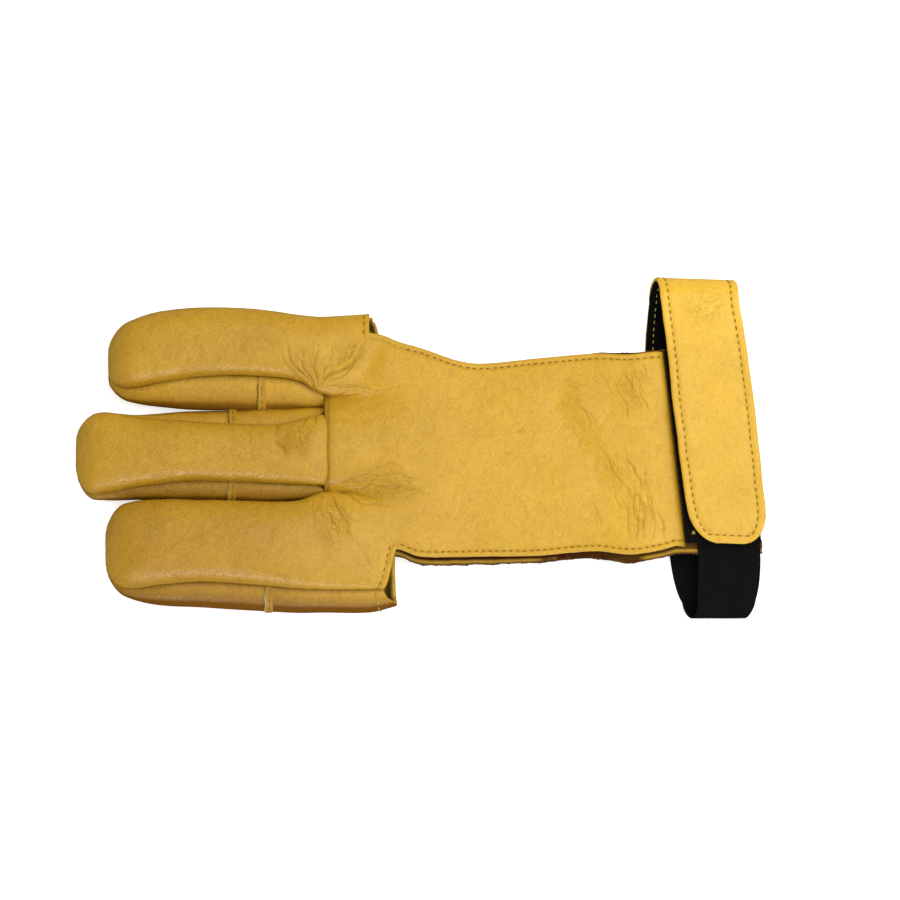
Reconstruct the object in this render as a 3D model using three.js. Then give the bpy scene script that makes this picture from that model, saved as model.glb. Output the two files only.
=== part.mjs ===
import * as THREE from "three";

// A three-finger archery glove of soft leather, lying palm down and fastened at the wrist.
// X runs from the fingertips to the wrist, Y across the hand with the ring finger at +Y,
// and Z up from the surface that the glove lies on. All lengths are in millimetres.
// The finger roots (the webs) lie at X = 0 and the middle finger's axis at Y = 0 while the
// pieces are made. The group is moved at the end, so that the origin is under the middle.

// Materials
const LEATHER = 1.2; // wall of every leather piece
const TAPE = 0.8; // hook tape and loop tape
const TAPE_CLEARANCE = 0.6; // pile between the two
const ELASTIC = 0.8; // woven wrist elastic
const GAP = 0.3; // clearance between neighbouring pieces
const SEAM_GAP = 0.5; // and between the edges of two sheets that curve in a seam

// Fingers: length from tip to web, width over both gussets, height over the crown
const RING = { length: 72.6, width: 33, height: 18, hook: { high: 28, low: 14 } };
const MIDDLE = { length: 83, width: 29.6, height: 17.5, hook: { high: 14, low: 14 } };
const INDEX = { length: 72.6, width: 36, height: 19, hook: { high: 28, low: 14 } };
const RING_SPACING = 1.7; // between the nominal sides of ring and middle finger
const INDEX_SPACING = 0.5; // between the nominal sides of middle and index finger
const TIP_LENGTH = 12; // rounded end of a finger
const TIP_ROUND_SHARE = 0.06; // share of a finger's length in which its outline turns round
const TIP_SEAM_HEIGHT = 5; // where back and palm leather meet at a fingertip
const HEM_HEIGHT = 2; // where a gusset meets the palm leather
const HEM_TURN = 2; // width over which the palm leather turns up to it
const HEM_INSET = 1.6; // how far that seam is tucked in under the gusset
const GUSSET_START = 1.4; // pointed end of a gusset, behind the fingertip
const GUSSET_OPENING = 20; // length over which a gusset reaches its full height
const WELT_WIDTH = 1.8; // raised welt between the two parts of a gusset
const WELT_RISE = 0.5;
const WEB_SETBACK = 4.2; // where a web gusset begins to turn from one finger to the next
const WEB_BULGE = 2.4; // how far it then bulges towards the hand

// Hand
const BODY_LENGTH = 116.7; // web to the end of the back leather, on the middle finger's axis
const BODY_WIDTH = 66;
const BODY_CROWN = 1.6; // rise of the hand's middle above its sides
const RING_OPENING = 15; // web to the free edge of the ring finger's side
const INDEX_OPENING = 24.2;
const INDEX_OPENING_SLANT = 5.6; // how much shorter that edge is at its seam
const RING_FLARE = 2.4; // how much further the gusset's free end reaches at the palm
const INDEX_FLARE = 4.8;
const PALM_RING_REACH = 18; // web to the palm leather's free edge
const PALM_INDEX_REACH = 24.5;
const BLEND_LENGTH = 30; // length over which a finger's crown fades into the hand
const SEAM_DIP = 1.8; // how deep the seam across the middle finger's root is drawn in
const SEAM_DIP_REACH = 5;
const LINING_LIP_HIGH = 1; // how far the under layer shows past the back leather
const LINING_LIP_LOW = 2.2;
const LINING_SETBACK = 2; // from the finger openings to the under layer's front edge
const WRIST_TAB = 25.4; // under layer past the end of the back leather

// Wrist band: one loop in the Y-Z plane, leaning with the end of the hand
const BAND_LEAN = Math.tan(THREE.MathUtils.degToRad(6.1));
const STRAP_WIDTH = 26.4;
const STRAP_TILT = 0.04; // slope of its fold against the X axis
const STRAP_CLEARANCE = 1.2; // between the end of the back leather and the strap
const STRAP_TIP = 12; // length of the strap's rounded end
const STRAP_TIP_FLAT = 0.3; // share of the width that is left at the very end
const TAPE_INSET = 0.7; // how far the hook tape stays inside the strap's outline
const ELASTIC_WIDTH = 21;
const ELASTIC_NARROWING = 0.14; // share of its width that it loses where it is folded
const BAND_ROOM = 7.2; // free height inside the lying loop
const BAND_HIGH = 60; // outermost point of the strap's fold
const BAND_LOW = -54.7; // outermost point of the elastic's fold
const STRAP_END = -31.1; // tip of the strap on the back of the wrist
const STRAP_REAR_END = -2; // where the strap ends under the wrist
const ELASTIC_OVERLAP = 10; // elastic lying on that end
const ELASTIC_TUCK = 8; // elastic held under the loop tape
const BAND_RAMP = 7; // length of a step up onto another layer

// Finger sections from tip (0) to web (1) and beyond. high and low are the back leather's
// rolled edges and skirtHigh and skirtLow the gussets' outlines, as shares of the finger's
// width from its axis. crown is a share of its height, and so are the two shoulders.
const COLUMNS = "at high low skirtHigh skirtLow crown shoulderHigh shoulderLow".split(" ");
RING.rows = table(COLUMNS, [
  [0.0, 0.12, 0.22, 0.12, 0.26, 0.97, 0.5, 0.6],
  [0.05, 0.28, 0.29, 0.27, 0.38, 0.97, 0.5, 0.6],
  [0.12, 0.38, 0.32, 0.36, 0.45, 0.98, 0.5, 0.6],
  [0.25, 0.465, 0.27, 0.44, 0.485, 1.0, 0.5, 0.62],
  [0.45, 0.5, 0.21, 0.475, 0.51, 0.98, 0.5, 0.62],
  [0.7, 0.485, 0.21, 0.46, 0.507, 0.93, 0.5, 0.6],
  [0.88, 0.435, 0.26, 0.415, 0.49, 0.88, 0.5, 0.6],
  [1.0, 0.42, 0.4, 0.4, 0.47, 0.82, 0.48, 0.56],
  [1.21, 0.455, 0.42, 0.43, 0.47, 0.72, 0.44, 0.5],
]);
MIDDLE.rows = table(COLUMNS, [
  [0.0, 0.22, 0.26, 0.22, 0.26, 0.97, 0.6, 0.6],
  [0.05, 0.41, 0.42, 0.42, 0.45, 0.97, 0.6, 0.6],
  [0.12, 0.475, 0.44, 0.49, 0.5, 0.98, 0.6, 0.6],
  [0.25, 0.41, 0.385, 0.47, 0.495, 1.0, 0.62, 0.62],
  [0.45, 0.36, 0.32, 0.505, 0.5, 0.98, 0.62, 0.62],
  [0.65, 0.335, 0.32, 0.518, 0.5, 0.94, 0.6, 0.6],
  [0.82, 0.335, 0.345, 0.525, 0.495, 0.9, 0.6, 0.6],
  [0.92, 0.4, 0.36, 0.515, 0.46, 0.88, 0.6, 0.6],
  [1.0, 0.45, 0.37, 0.51, 0.41, 0.86, 0.58, 0.58],
]);
INDEX.rows = table(COLUMNS, [
  [0.0, 0.21, 0.18, 0.2, 0.18, 0.97, 0.5, 0.6],
  [0.05, 0.39, 0.28, 0.37, 0.32, 0.97, 0.5, 0.6],
  [0.12, 0.465, 0.335, 0.44, 0.41, 0.98, 0.5, 0.6],
  [0.25, 0.49, 0.312, 0.465, 0.467, 1.0, 0.5, 0.62],
  [0.45, 0.485, 0.283, 0.46, 0.487, 0.98, 0.5, 0.62],
  [0.7, 0.475, 0.308, 0.45, 0.514, 0.93, 0.5, 0.6],
  [0.88, 0.485, 0.342, 0.46, 0.533, 0.88, 0.5, 0.6],
  [1.0, 0.57, 0.347, 0.54, 0.53, 0.82, 0.48, 0.58],
  [1.21, 0.58, 0.345, 0.55, 0.53, 0.74, 0.46, 0.54],
  [1.34, 0.58, 0.345, 0.55, 0.47, 0.7, 0.46, 0.52],
]);

// Hand sections from web (0) to the end of the back leather (1). high and low are its two
// edges as shares of its width from the axis, and rise is its height as a share of the
// middle finger's.
const BODY_ROWS = table(["at", "high", "low", "rise"], [
  [0.0, 0.62, 0.5, 0.76],
  [0.15, 0.605, 0.49, 0.68],
  [0.21, 0.57, 0.488, 0.65],
  [0.27, 0.545, 0.525, 0.62],
  [0.38, 0.48, 0.527, 0.58],
  [0.45, 0.465, 0.523, 0.56],
  [0.6, 0.489, 0.52, 0.55],
  [0.77, 0.514, 0.497, 0.57],
  [0.87, 0.506, 0.518, 0.6],
  [0.95, 0.52, 0.5, 0.62],
  [1.0, 0.52, 0.475, 0.62],
]);

// Soft folds of the back leather. Each runs between two points, given as shares of the
// hand's length and width, and depth and reach are shares of the leather's thickness and of
// the hand's width. A negative depth is a valley.
const FOLDS = table(["x0", "y0", "x1", "y1", "depth", "reach"], [
  [0.03, 0.3, 0.13, 0.52, -1.3, 0.055],
  [0.09, 0.24, 0.18, 0.46, 0.8, 0.06],
  [0.66, 0.22, 0.9, -0.36, -0.9, 0.09],
  [0.74, 0.26, 0.97, -0.3, 0.6, 0.09],
  [0.1, -0.22, 0.34, -0.14, 0.5, 0.07],
]);

// Wrist band rows by height on the loop, as a share of its half length from its middle.
// front and rear are the sideways places of its upper and lower run, in strap widths.
const BAND_ROWS = table(["at", "front", "rear"], [
  [-1.0, 0.05, 0.05],
  [-0.85, 0.12, -0.1],
  [-0.6, 0.14, -0.2],
  [-0.05, 0.0, -0.29],
  [0.55, -0.135, -0.385],
  [0.82, -0.21, -0.35],
  [1.0, -0.25, -0.29],
]);

// The back leather rolls down at its sides, and this is how square its section is.
const ROUNDNESS = 0.77;

// Places that follow from the sizes above
RING.axis = MIDDLE.width / 2 + RING_SPACING + RING.width / 2;
MIDDLE.axis = 0;
INDEX.axis = -(MIDDLE.width / 2 + INDEX_SPACING + INDEX.width / 2);
const FLOOR_STACK = LEATHER + GAP + TAPE; // strap and tape under the wrist
const LINING_TOP = FLOOR_STACK + BAND_ROOM + LEATHER; // under layer at the wrist
const WRIST_TOP = LINING_TOP + GAP + LEATHER; // back leather at its end
const TAPE_STEP = ELASTIC + GAP; // how far the elastic lifts what lies over it
const PATCH_TOP = LINING_TOP + GAP + TAPE;
const STRAP_BOTTOM = PATCH_TOP + TAPE_CLEARANCE + TAPE + GAP;
const BAND_X = BODY_LENGTH + STRAP_CLEARANCE + STRAP_WIDTH / 2;

// Small helpers
const PROBE = 0.002; // step for a slope, and the least share that counts as past a tip
function table(names, rows) {
  return rows.map((row) => Object.fromEntries(names.map((name, i) => [name, row[i]])));
}

const mix = (a, b, t) => a + (b - a) * t;
const clamp01 = (t) => Math.min(1, Math.max(0, t));
const ease = (t) => clamp01(t) ** 2 * (3 - 2 * clamp01(t));
const steps = (count, from = 0, to = 1) =>
  Array.from({ length: count + 1 }, (_, i) => mix(from, to, i / count));

// One smooth curve through a column of a table, flat beyond its ends.
function follow(rows, column, at) {
  const last = rows.length - 1;
  if (at <= rows[0].at) return rows[0][column];
  if (at >= rows[last].at) return rows[last][column];
  const i = rows.findIndex((row) => row.at > at) - 1;
  const slope = (k) => {
    const a = rows[Math.max(k - 1, 0)];
    const b = rows[Math.min(k + 1, last)];
    return (b[column] - a[column]) / (b.at - a.at);
  };
  const span = rows[i + 1].at - rows[i].at;
  const t = (at - rows[i].at) / span;
  return (
    rows[i][column] * (2 * t ** 3 - 3 * t ** 2 + 1) +
    slope(i) * span * (t ** 3 - 2 * t ** 2 + t) +
    rows[i + 1][column] * (3 * t ** 2 - 2 * t ** 3) +
    slope(i + 1) * span * (t ** 3 - t ** 2)
  );
}

// The normal of a surface(a, b), on the side where b crossed with a points.
function normalOf(surface, a, b, low = [0, 0], high = [1, 1]) {
  const a0 = Math.max(low[0], a - PROBE);
  const a1 = Math.min(high[0], a + PROBE);
  const b0 = Math.max(low[1], b - PROBE);
  const b1 = Math.min(high[1], b + PROBE);
  const alongA = surface(a1, b).sub(surface(a0, b));
  const alongB = surface(a, b1).sub(surface(a, b0));
  return alongB.cross(alongA).normalize();
}

// A sheet of material as a closed body: a grid of points on its face, the same grid set back
// by its wall, and a rim. present says which cells of the grid exist, and back is -1 where
// the wall lies on the other side of the surface. inwardAt may give the wall's direction.
function sheet({ along, across, surface, wall, back = 1, present = () => true, inwardAt }) {
  const columns = across.length;
  const low = [along[0], across[0]];
  const high = [along[along.length - 1], across[columns - 1]];
  const points = [[], []];
  for (const a of along) {
    for (const b of across) {
      const face = surface(a, b);
      const given = inwardAt ? inwardAt(a, b) : null;
      const inward = given ?? normalOf(surface, a, b, low, high).multiplyScalar(-back);
      points[0].push(face.clone());
      points[1].push(face.addScaledVector(inward, wall));
    }
  }
  const offset = points[0].length;
  const positions = points.flat().flatMap((p) => p.toArray());
  const faces = [];
  const quad = (p, q, r, s) => {
    if (back > 0) faces.push(p, q, r, p, r, s);
    else faces.push(p, r, q, p, s, r);
  };
  const has = (i, j) =>
    i >= 0 && j >= 0 && i < along.length - 1 && j < columns - 1 && present(i, j);
  for (let i = 0; i < along.length - 1; i++) {
    for (let j = 0; j < columns - 1; j++) {
      if (!has(i, j)) continue;
      const v = [i * columns + j, (i + 1) * columns + j, (i + 1) * columns + j + 1, i * columns + j + 1];
      quad(v[0], v[3], v[2], v[1]);
      quad(v[0] + offset, v[1] + offset, v[2] + offset, v[3] + offset);
      const sides = [[-1, 0, 0, 3], [0, 1, 3, 2], [1, 0, 2, 1], [0, -1, 1, 0]];
      for (const [di, dj, from, to] of sides) {
        if (!has(i + di, j + dj)) quad(v[from], v[from] + offset, v[to] + offset, v[to]);
      }
    }
  }
  const geometry = new THREE.BufferGeometry();
  geometry.setAttribute("position", new THREE.Float32BufferAttribute(positions, 3));
  geometry.setIndex(faces);
  const solid = geometry.toNonIndexed();
  solid.computeVertexNormals();
  return solid;
}

// Finger shape. x is measured from the web, so the tip is at -length.
const sideSign = (side) => (side === "high" ? 1 : -1);

// A finger's outline at x. It is drawn out near the tip, so that it turns into it round.
function across(finger, side, column, x) {
  const at = 1 + x / finger.length;
  const tip = finger.rows[0][column];
  const near = Math.min(1, Math.max(at, PROBE) / TIP_ROUND_SHARE);
  const fuller = near ** ((near - 1) / 2);
  const share = tip + (follow(finger.rows, column, at) - tip) * fuller;
  return finger.axis + sideSign(side) * finger.width * share;
}

// 0 at the fingertip, rising steeply to 1 where the rounded end is over.
function tipCap(finger, x) {
  const t = clamp01((x + finger.length) / TIP_LENGTH);
  return (1 - (1 - t) ** 2.2) ** (1 / 2.2);
}

// 0 at the fingertip and 1 where the gusset has its full height.
function gussetShare(finger, x) {
  return Math.sqrt(clamp01((x + finger.length - GUSSET_START / 2) / GUSSET_OPENING));
}

function seamHeight(finger, side, x) {
  const column = side === "high" ? "shoulderHigh" : "shoulderLow";
  const shoulder = finger.height * follow(finger.rows, column, 1 + x / finger.length);
  return mix(TIP_SEAM_HEIGHT, shoulder - LEATHER, gussetShare(finger, x));
}

function hemHeight(finger, x) {
  return mix(TIP_SEAM_HEIGHT - SEAM_GAP, HEM_HEIGHT, gussetShare(finger, x));
}

function hemPoint(finger, side, x) {
  const skirt = across(finger, side, side === "high" ? "skirtHigh" : "skirtLow", x);
  const y = skirt - sideSign(side) * HEM_INSET * gussetShare(finger, x);
  return new THREE.Vector3(x, y, hemHeight(finger, x));
}

// The back leather over a finger. t runs from its seam on the high side, over the crown, to
// its seam on the low side.
function backOfFinger(finger, x, t) {
  const at = 1 + x / finger.length;
  const hook = (side) => THREE.MathUtils.degToRad(finger.hook[side]) * gussetShare(finger, x);
  const hooks = { high: hook("high"), low: hook("low") };
  const angle = mix(-hooks.high, Math.PI + hooks.low, t);
  const side = Math.cos(angle) > 0 ? "high" : "low";
  const highEdge = across(finger, "high", "high", x);
  const lowEdge = across(finger, "low", "low", x);
  const swing = Math.sign(Math.cos(angle)) * Math.abs(Math.cos(angle)) ** ROUNDNESS;
  const y = (highEdge + lowEdge) / 2 + ((highEdge - lowEdge) / 2) * swing;
  const cap = tipCap(finger, x);
  const shoulder = finger.height * mix(
    follow(finger.rows, "shoulderHigh", at),
    follow(finger.rows, "shoulderLow", at),
    (1 - Math.cos(angle)) / 2,
  );
  const crown = finger.height * follow(finger.rows, "crown", at);
  const lift = Math.abs(Math.sin(angle)) ** ROUNDNESS;
  if (Math.sin(angle) >= 0 || hooks[side] === 0) {
    return new THREE.Vector3(x, y, mix(TIP_SEAM_HEIGHT, mix(shoulder, crown, lift), cap));
  }
  const hooked = lift / Math.sin(hooks[side]) ** ROUNDNESS;
  const edge = mix(TIP_SEAM_HEIGHT, shoulder, cap);
  return new THREE.Vector3(x, y, mix(edge, Math.min(edge, seamHeight(finger, side, x)), hooked));
}

// A gusset of a finger, from the seam with the back leather (v = 0) to the seam with the palm
// leather (v = 1), bulging to its outline between them.
function gussetPoint(finger, side, x, v) {
  const top = backOfFinger(finger, x, side === "high" ? 0 : 1);
  const hem = hemPoint(finger, side, x);
  const outline = across(finger, side, side === "high" ? "skirtHigh" : "skirtLow", x);
  const from = [top.y, top.z - SEAM_GAP];
  const to = [hem.y, hem.z + GAP];
  const height = from[1] - to[1];
  const sign = sideSign(side);
  const pull = sign * Math.max(sign * ((outline - (from[0] + to[0]) / 8) / 0.75), sign * from[0]);
  const curve = new THREE.CubicBezierCurve(
    new THREE.Vector2(...from),
    new THREE.Vector2(pull, from[1] - 0.15 * height),
    new THREE.Vector2(pull, to[1] + 0.25 * height),
    new THREE.Vector2(...to),
  );
  const p = curve.getPoint(v);
  return new THREE.Vector3(x, p.x, p.y);
}

// Hand shape
function foldLift(x, y) {
  const p = new THREE.Vector2(x / BODY_LENGTH, y / BODY_LENGTH);
  return FOLDS.reduce((sum, fold) => {
    const from = new THREE.Vector2(fold.x0, (fold.y0 * BODY_WIDTH) / BODY_LENGTH);
    const run = new THREE.Vector2(fold.x1, (fold.y1 * BODY_WIDTH) / BODY_LENGTH).sub(from);
    const share = clamp01(p.clone().sub(from).dot(run) / run.lengthSq());
    const away = p.distanceTo(from.clone().addScaledVector(run, share)) * BODY_LENGTH;
    return sum + fold.depth * LEATHER * Math.exp(-((away / (fold.reach * BODY_WIDTH)) ** 2));
  }, 0);
}

// The hand's end follows the lean of the wrist band.
const bodyEnd = (y) => BODY_LENGTH - y * BAND_LEAN;

// s runs across the hand from its high edge (0) to its low edge (1).
function bodyPoint(x, s) {
  const at = x / BODY_LENGTH;
  const high = BODY_WIDTH * follow(BODY_ROWS, "high", at);
  const low = -BODY_WIDTH * follow(BODY_ROWS, "low", at);
  const y = mix(high, low, s);
  const wrist = ease((at - 0.72) / 0.2);
  const crown = BODY_CROWN * (1 - (2 * s - 1) ** 2) * (1 - wrist);
  const free = MIDDLE.height * follow(BODY_ROWS, "rise", at) + crown + foldLift(x, y);
  return new THREE.Vector3(x, y, mix(free, WRIST_TOP, wrist));
}

// The columns of the back leather: the ring finger with its outer part, the hand's middle,
// and the index finger with its outer part.
const LEG = 12;
const OUTER = 5;
const CENTRE = 8;
const WEB_RING = (BODY_WIDTH * 0.62 - (RING.axis - RING.width * 0.4)) / (BODY_WIDTH * 1.12);
const WEB_INDEX = (BODY_WIDTH * 0.62 - (INDEX.axis + INDEX.width * 0.57)) / (BODY_WIDTH * 1.12);

function handShare(column) {
  const start = OUTER;
  const ringWeb = LEG;
  const indexWeb = LEG + CENTRE;
  const end = indexWeb + LEG - OUTER;
  if (column <= start) return 0;
  if (column <= ringWeb) return WEB_RING * ((column - start) / (ringWeb - start));
  if (column <= indexWeb) return mix(WEB_RING, WEB_INDEX, (column - ringWeb) / CENTRE);
  if (column <= end) return mix(WEB_INDEX, 1, (column - indexWeb) / (end - indexWeb));
  return 1;
}

// How far past the finger's opening a column of the back leather lies, 0 to 1 at its seam.
function outerShare(column) {
  const far = LEG + CENTRE + LEG;
  if (column < OUTER) return (OUTER - column) / OUTER;
  return clamp01((column - (far - OUTER)) / OUTER);
}

// The back leather. row runs from the fingertips (0) to the webs (1), the finger openings (2)
// and the wrist (3).
function backPoint(row, column) {
  const s = handShare(column);
  const inLegs = row < 1;
  const onRing = column <= LEG + (inLegs ? 1 : 0);
  const onIndex = column >= LEG + CENTRE - (inLegs ? 1 : 0);
  const finger = onRing ? RING : INDEX;
  const t = clamp01(onRing ? column / LEG : (column - LEG - CENTRE) / LEG);
  if (row <= 1 && (onRing || onIndex)) return backOfFinger(finger, -finger.length * (1 - row), t);
  const slant = onIndex ? INDEX_OPENING_SLANT * outerShare(column) : 0;
  const opening = mix(RING_OPENING, INDEX_OPENING, s) - slant;
  const end = bodyEnd(mix(0.5, -0.5, s) * BODY_WIDTH);
  const x = row <= 2 ? opening * Math.max(0, row - 1) : mix(opening, end, row - 2);
  const body = bodyPoint(x, s);
  const fade = ease(x / BLEND_LENGTH);
  if (onRing || onIndex) {
    const leg = backOfFinger(finger, x, t);
    const outer = outerShare(column);
    if (outer === 0) return leg.lerp(body, fade);
    const edgeColumn = onRing ? OUTER / LEG : 1 - OUTER / LEG;
    const shift = body.sub(backOfFinger(finger, x, edgeColumn)).multiplyScalar(fade * (1 - outer));
    return leg.add(shift);
  }
  const ringPull = Math.max(0, 1 - (column - LEG) / 4) ** 2;
  const indexPull = Math.max(0, 1 - (LEG + CENTRE - column) / 4) ** 2;
  const ringWeb = backOfFinger(RING, x, 1).sub(bodyPoint(x, WEB_RING));
  const indexWeb = backOfFinger(INDEX, x, 0).sub(bodyPoint(x, WEB_INDEX));
  body.addScaledVector(ringWeb, ringPull * (1 - fade));
  body.addScaledVector(indexWeb, indexPull * (1 - fade));
  const dip = SEAM_DIP * (1 - clamp01(x / SEAM_DIP_REACH)) ** 2;
  body.z -= dip * (1 - Math.max(ringPull, indexPull));
  return body;
}

// Rows of every finger from tip (0) to web (1), close together over the rounded tip. Pieces
// that meet in a seam share them, so that their edges have the same corners.
const TIP_SHARE = TIP_LENGTH / RING.length;
const FINGER_ROWS = [
  ...steps(4).map((t) => TIP_SHARE * (1 - Math.cos((t * Math.PI) / 2))),
  ...steps(9, TIP_SHARE, 1).slice(1),
];
const OPENING_ROWS = steps(4); // web (0) to the edge of a finger's opening (1)

// Those rows between two places of a gusset, opening being its free end past the web.
function gussetRows(finger, from, to, opening = 0) {
  const rows = [...FINGER_ROWS.map((at) => (at - 1) * finger.length), ...OPENING_ROWS.map((at) => at * opening)];
  const low = Math.min(from, to) + 0.6;
  const high = Math.max(from, to) - 0.6;
  const inside = rows.filter((x, i) => x > low && x < high && rows.indexOf(x) === i);
  return from < to ? [from, ...inside, to] : [from, ...inside.reverse(), to];
}

const group = new THREE.Group();
const COLOURS = {
  leather: new THREE.MeshStandardMaterial({ color: 0xe3ad35, roughness: 0.55, metalness: 0 }),
  under: new THREE.MeshStandardMaterial({ color: 0xc08a35, roughness: 0.85, metalness: 0 }),
  welt: new THREE.MeshStandardMaterial({ color: 0xcfb060, roughness: 0.6, metalness: 0 }),
  tape: new THREE.MeshStandardMaterial({ color: 0x101012, roughness: 0.95, metalness: 0 }),
  elastic: new THREE.MeshStandardMaterial({ color: 0x0c0c0e, roughness: 0.9, metalness: 0 }),
};

function add(name, material, geometry) {
  const mesh = new THREE.Mesh(geometry, material);
  mesh.name = name;
  group.add(mesh);
}

// Back leather: one cut with the backs of the ring and index fingers
const backRows = [
  ...FINGER_ROWS,
  ...OPENING_ROWS.slice(1).map((at) => 1 + at),
  ...steps(13, 2, 3).slice(1),
];
const openingRow = backRows.indexOf(2);
const webRow = backRows.indexOf(1);
add("back_panel", COLOURS.leather, sheet({
  along: backRows,
  across: steps(2 * LEG + CENTRE, 0, 2 * LEG + CENTRE),
  surface: (row, column) => backPoint(row, column),
  wall: LEATHER,
  present: (i, j) => {
    const inCentre = j >= LEG && j < LEG + CENTRE;
    const outer = j < OUTER || j >= 2 * LEG + CENTRE - OUTER;
    if (i < webRow) return !inCentre;
    return i < openingRow || !outer;
  },
}));

// Back of the middle finger: a piece of its own, drawn down into the seam at its root
function middleBack(x, t) {
  const p = backOfFinger(MIDDLE, x, t);
  const dip = SEAM_DIP * clamp01(1 + x / SEAM_DIP_REACH) ** 2;
  const inside = 1 - Math.abs(2 * t - 1) ** 3;
  p.z -= dip * inside;
  return p;
}

add("middle_back", COLOURS.leather, sheet({
  along: FINGER_ROWS.map((at) => Math.min((at - 1) * MIDDLE.length, -GAP)),
  across: steps(LEG),
  surface: middleBack,
  wall: LEATHER,
}));

// Palm leather: three finger fronts in one cut, ending in a free edge across the palm
const PALM_LEG = 6;
const PALM_WEB = 2;
const palmSlots = [
  { finger: RING, from: 0 },
  { finger: MIDDLE, from: PALM_LEG + PALM_WEB },
  { finger: INDEX, from: 2 * (PALM_LEG + PALM_WEB) },
];
const PALM_COLUMNS = 3 * PALM_LEG + 2 * PALM_WEB;

function palmOfFinger(finger, x, t) {
  const high = hemPoint(finger, "high", x);
  const low = hemPoint(finger, "low", x);
  const fromEdge = (high.y - low.y) * Math.min(t, 1 - t);
  const rim = 1 - Math.sqrt(1 - (1 - clamp01(fromEdge / HEM_TURN)) ** 2);
  const floor = (TIP_SEAM_HEIGHT - SEAM_GAP) * (1 - tipCap(finger, x));
  return new THREE.Vector3(x, mix(high.y, low.y, t), mix(floor, high.z, rim));
}

function palmPoint(row, column) {
  const slot = palmSlots.findLast((s) => column >= s.from - (row < 1 ? 1 : 0));
  const { finger, from } = slot;
  const t = (1 - Math.cos(Math.PI * clamp01((column - from) / PALM_LEG))) / 2;
  if (row <= 1) return palmOfFinger(finger, -finger.length * (1 - row), t);
  const share = column / PALM_COLUMNS;
  const x = (row - 1) * mix(PALM_RING_REACH, PALM_INDEX_REACH, share);
  const flatten = 1 - ease(x / (2 * HEM_INSET));
  let p = palmOfFinger(finger, x, t);
  if (column > from + PALM_LEG) {
    const next = palmSlots[palmSlots.indexOf(slot) + 1].finger;
    p.lerp(palmOfFinger(next, x, 0), (column - from - PALM_LEG) / PALM_WEB);
  }
  const isOuter = column < PALM_LEG / 2 || column > PALM_COLUMNS - PALM_LEG / 2;
  if (!isOuter) p.z *= flatten;
  return p;
}

// At the seams of the fingers the palm leather stands upright.
function palmInward(row, column) {
  const { finger, from } = palmSlots.findLast((s) => column >= s.from);
  const leg = column - from;
  if (row > 1 || leg > PALM_LEG || (row > 0 && leg > 0 && leg < PALM_LEG)) return null;
  const side = leg < PALM_LEG / 2 ? "high" : "low";
  const x = -finger.length * (1 - row);
  const run = hemPoint(finger, side, x + PROBE).sub(hemPoint(finger, side, x));
  const inward = new THREE.Vector3(run.y, -run.x, 0).normalize().multiplyScalar(sideSign(side));
  const middle = new THREE.Vector3(1, 0, 0);
  return row > 0 ? inward : inward.lerp(middle, leg % PALM_LEG ? 1 : 0.5).normalize();
}

const palmRows = [...FINGER_ROWS, 1.12, 1.35, 1.65, 2];
const palmWebRow = palmRows.indexOf(1);
add("palm_panel", COLOURS.under, sheet({
  along: palmRows,
  across: steps(PALM_COLUMNS, 0, PALM_COLUMNS),
  surface: palmPoint,
  wall: LEATHER,
  back: -1,
  inwardAt: palmInward,
  present: (i, j) => i >= palmWebRow || j % (PALM_LEG + PALM_WEB) < PALM_LEG,
}));

// Gussets: each has a part towards the tip and a part towards the hand, with a welt between
const GUSSET_CELLS = 4;

// flare is how much further its free end reaches at the palm than at the back.
function gussetStrip(finger, side, from, to, flare = 0) {
  return sheet({
    along: gussetRows(finger, from, to, Math.max(to, 0)),
    across: steps(GUSSET_CELLS),
    surface: (x, v) => gussetPoint(finger, side, x + flare * v * clamp01(x / to) ** 2, v),
    wall: LEATHER,
    back: -sideSign(side),
  });
}

function welt(finger, side, x) {
  const surface = (a, v) => {
    const face = (p, q) => gussetPoint(finger, side, p, q);
    const out = normalOf(face, a, v, [x - WELT_WIDTH, 0], [x + WELT_WIDTH, 1]);
    const round = Math.sqrt(1 - ((2 * (a - x)) / WELT_WIDTH) ** 2 * 0.8);
    return face(a, v).addScaledVector(out, -sideSign(side) * WELT_RISE * round);
  };
  return sheet({
    along: steps(3, x - WELT_WIDTH / 2, x + WELT_WIDTH / 2),
    across: steps(GUSSET_CELLS, 0.02, 0.98),
    surface,
    wall: LEATHER,
    back: -sideSign(side),
  });
}

// A web gusset turns from the low side of one finger to the high side of the next.
function webGusset(first, second, weltFirst, weltSecond) {
  const legEnd = -WEB_SETBACK;
  const half = WELT_WIDTH / 2 + GAP;
  const firstLeg = weltFirst + half;
  const secondLeg = weltSecond + half;
  const surface = (a, v) => {
    if (a <= 1) return gussetPoint(first, "low", mix(firstLeg, legEnd, a), v);
    if (a >= 2) return gussetPoint(second, "high", mix(legEnd, secondLeg, a - 2), v);
    const start = gussetPoint(first, "low", legEnd, v);
    const end = gussetPoint(second, "high", legEnd, v);
    const turn = (a - 1) * Math.PI;
    const p = start.clone().lerp(end, (1 - Math.cos(turn)) / 2);
    p.x += WEB_BULGE * Math.sin(turn);
    return p;
  };
  return sheet({
    along: [
      ...gussetRows(first, firstLeg, legEnd).map((x) => (x - firstLeg) / (legEnd - firstLeg)),
      ...steps(4, 1, 2).slice(1, -1),
      ...gussetRows(second, legEnd, secondLeg).map((x) => 2 + (x - legEnd) / (secondLeg - legEnd)),
    ],
    across: steps(GUSSET_CELLS),
    surface,
    wall: LEATHER,
    back: 1,
  });
}

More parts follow.
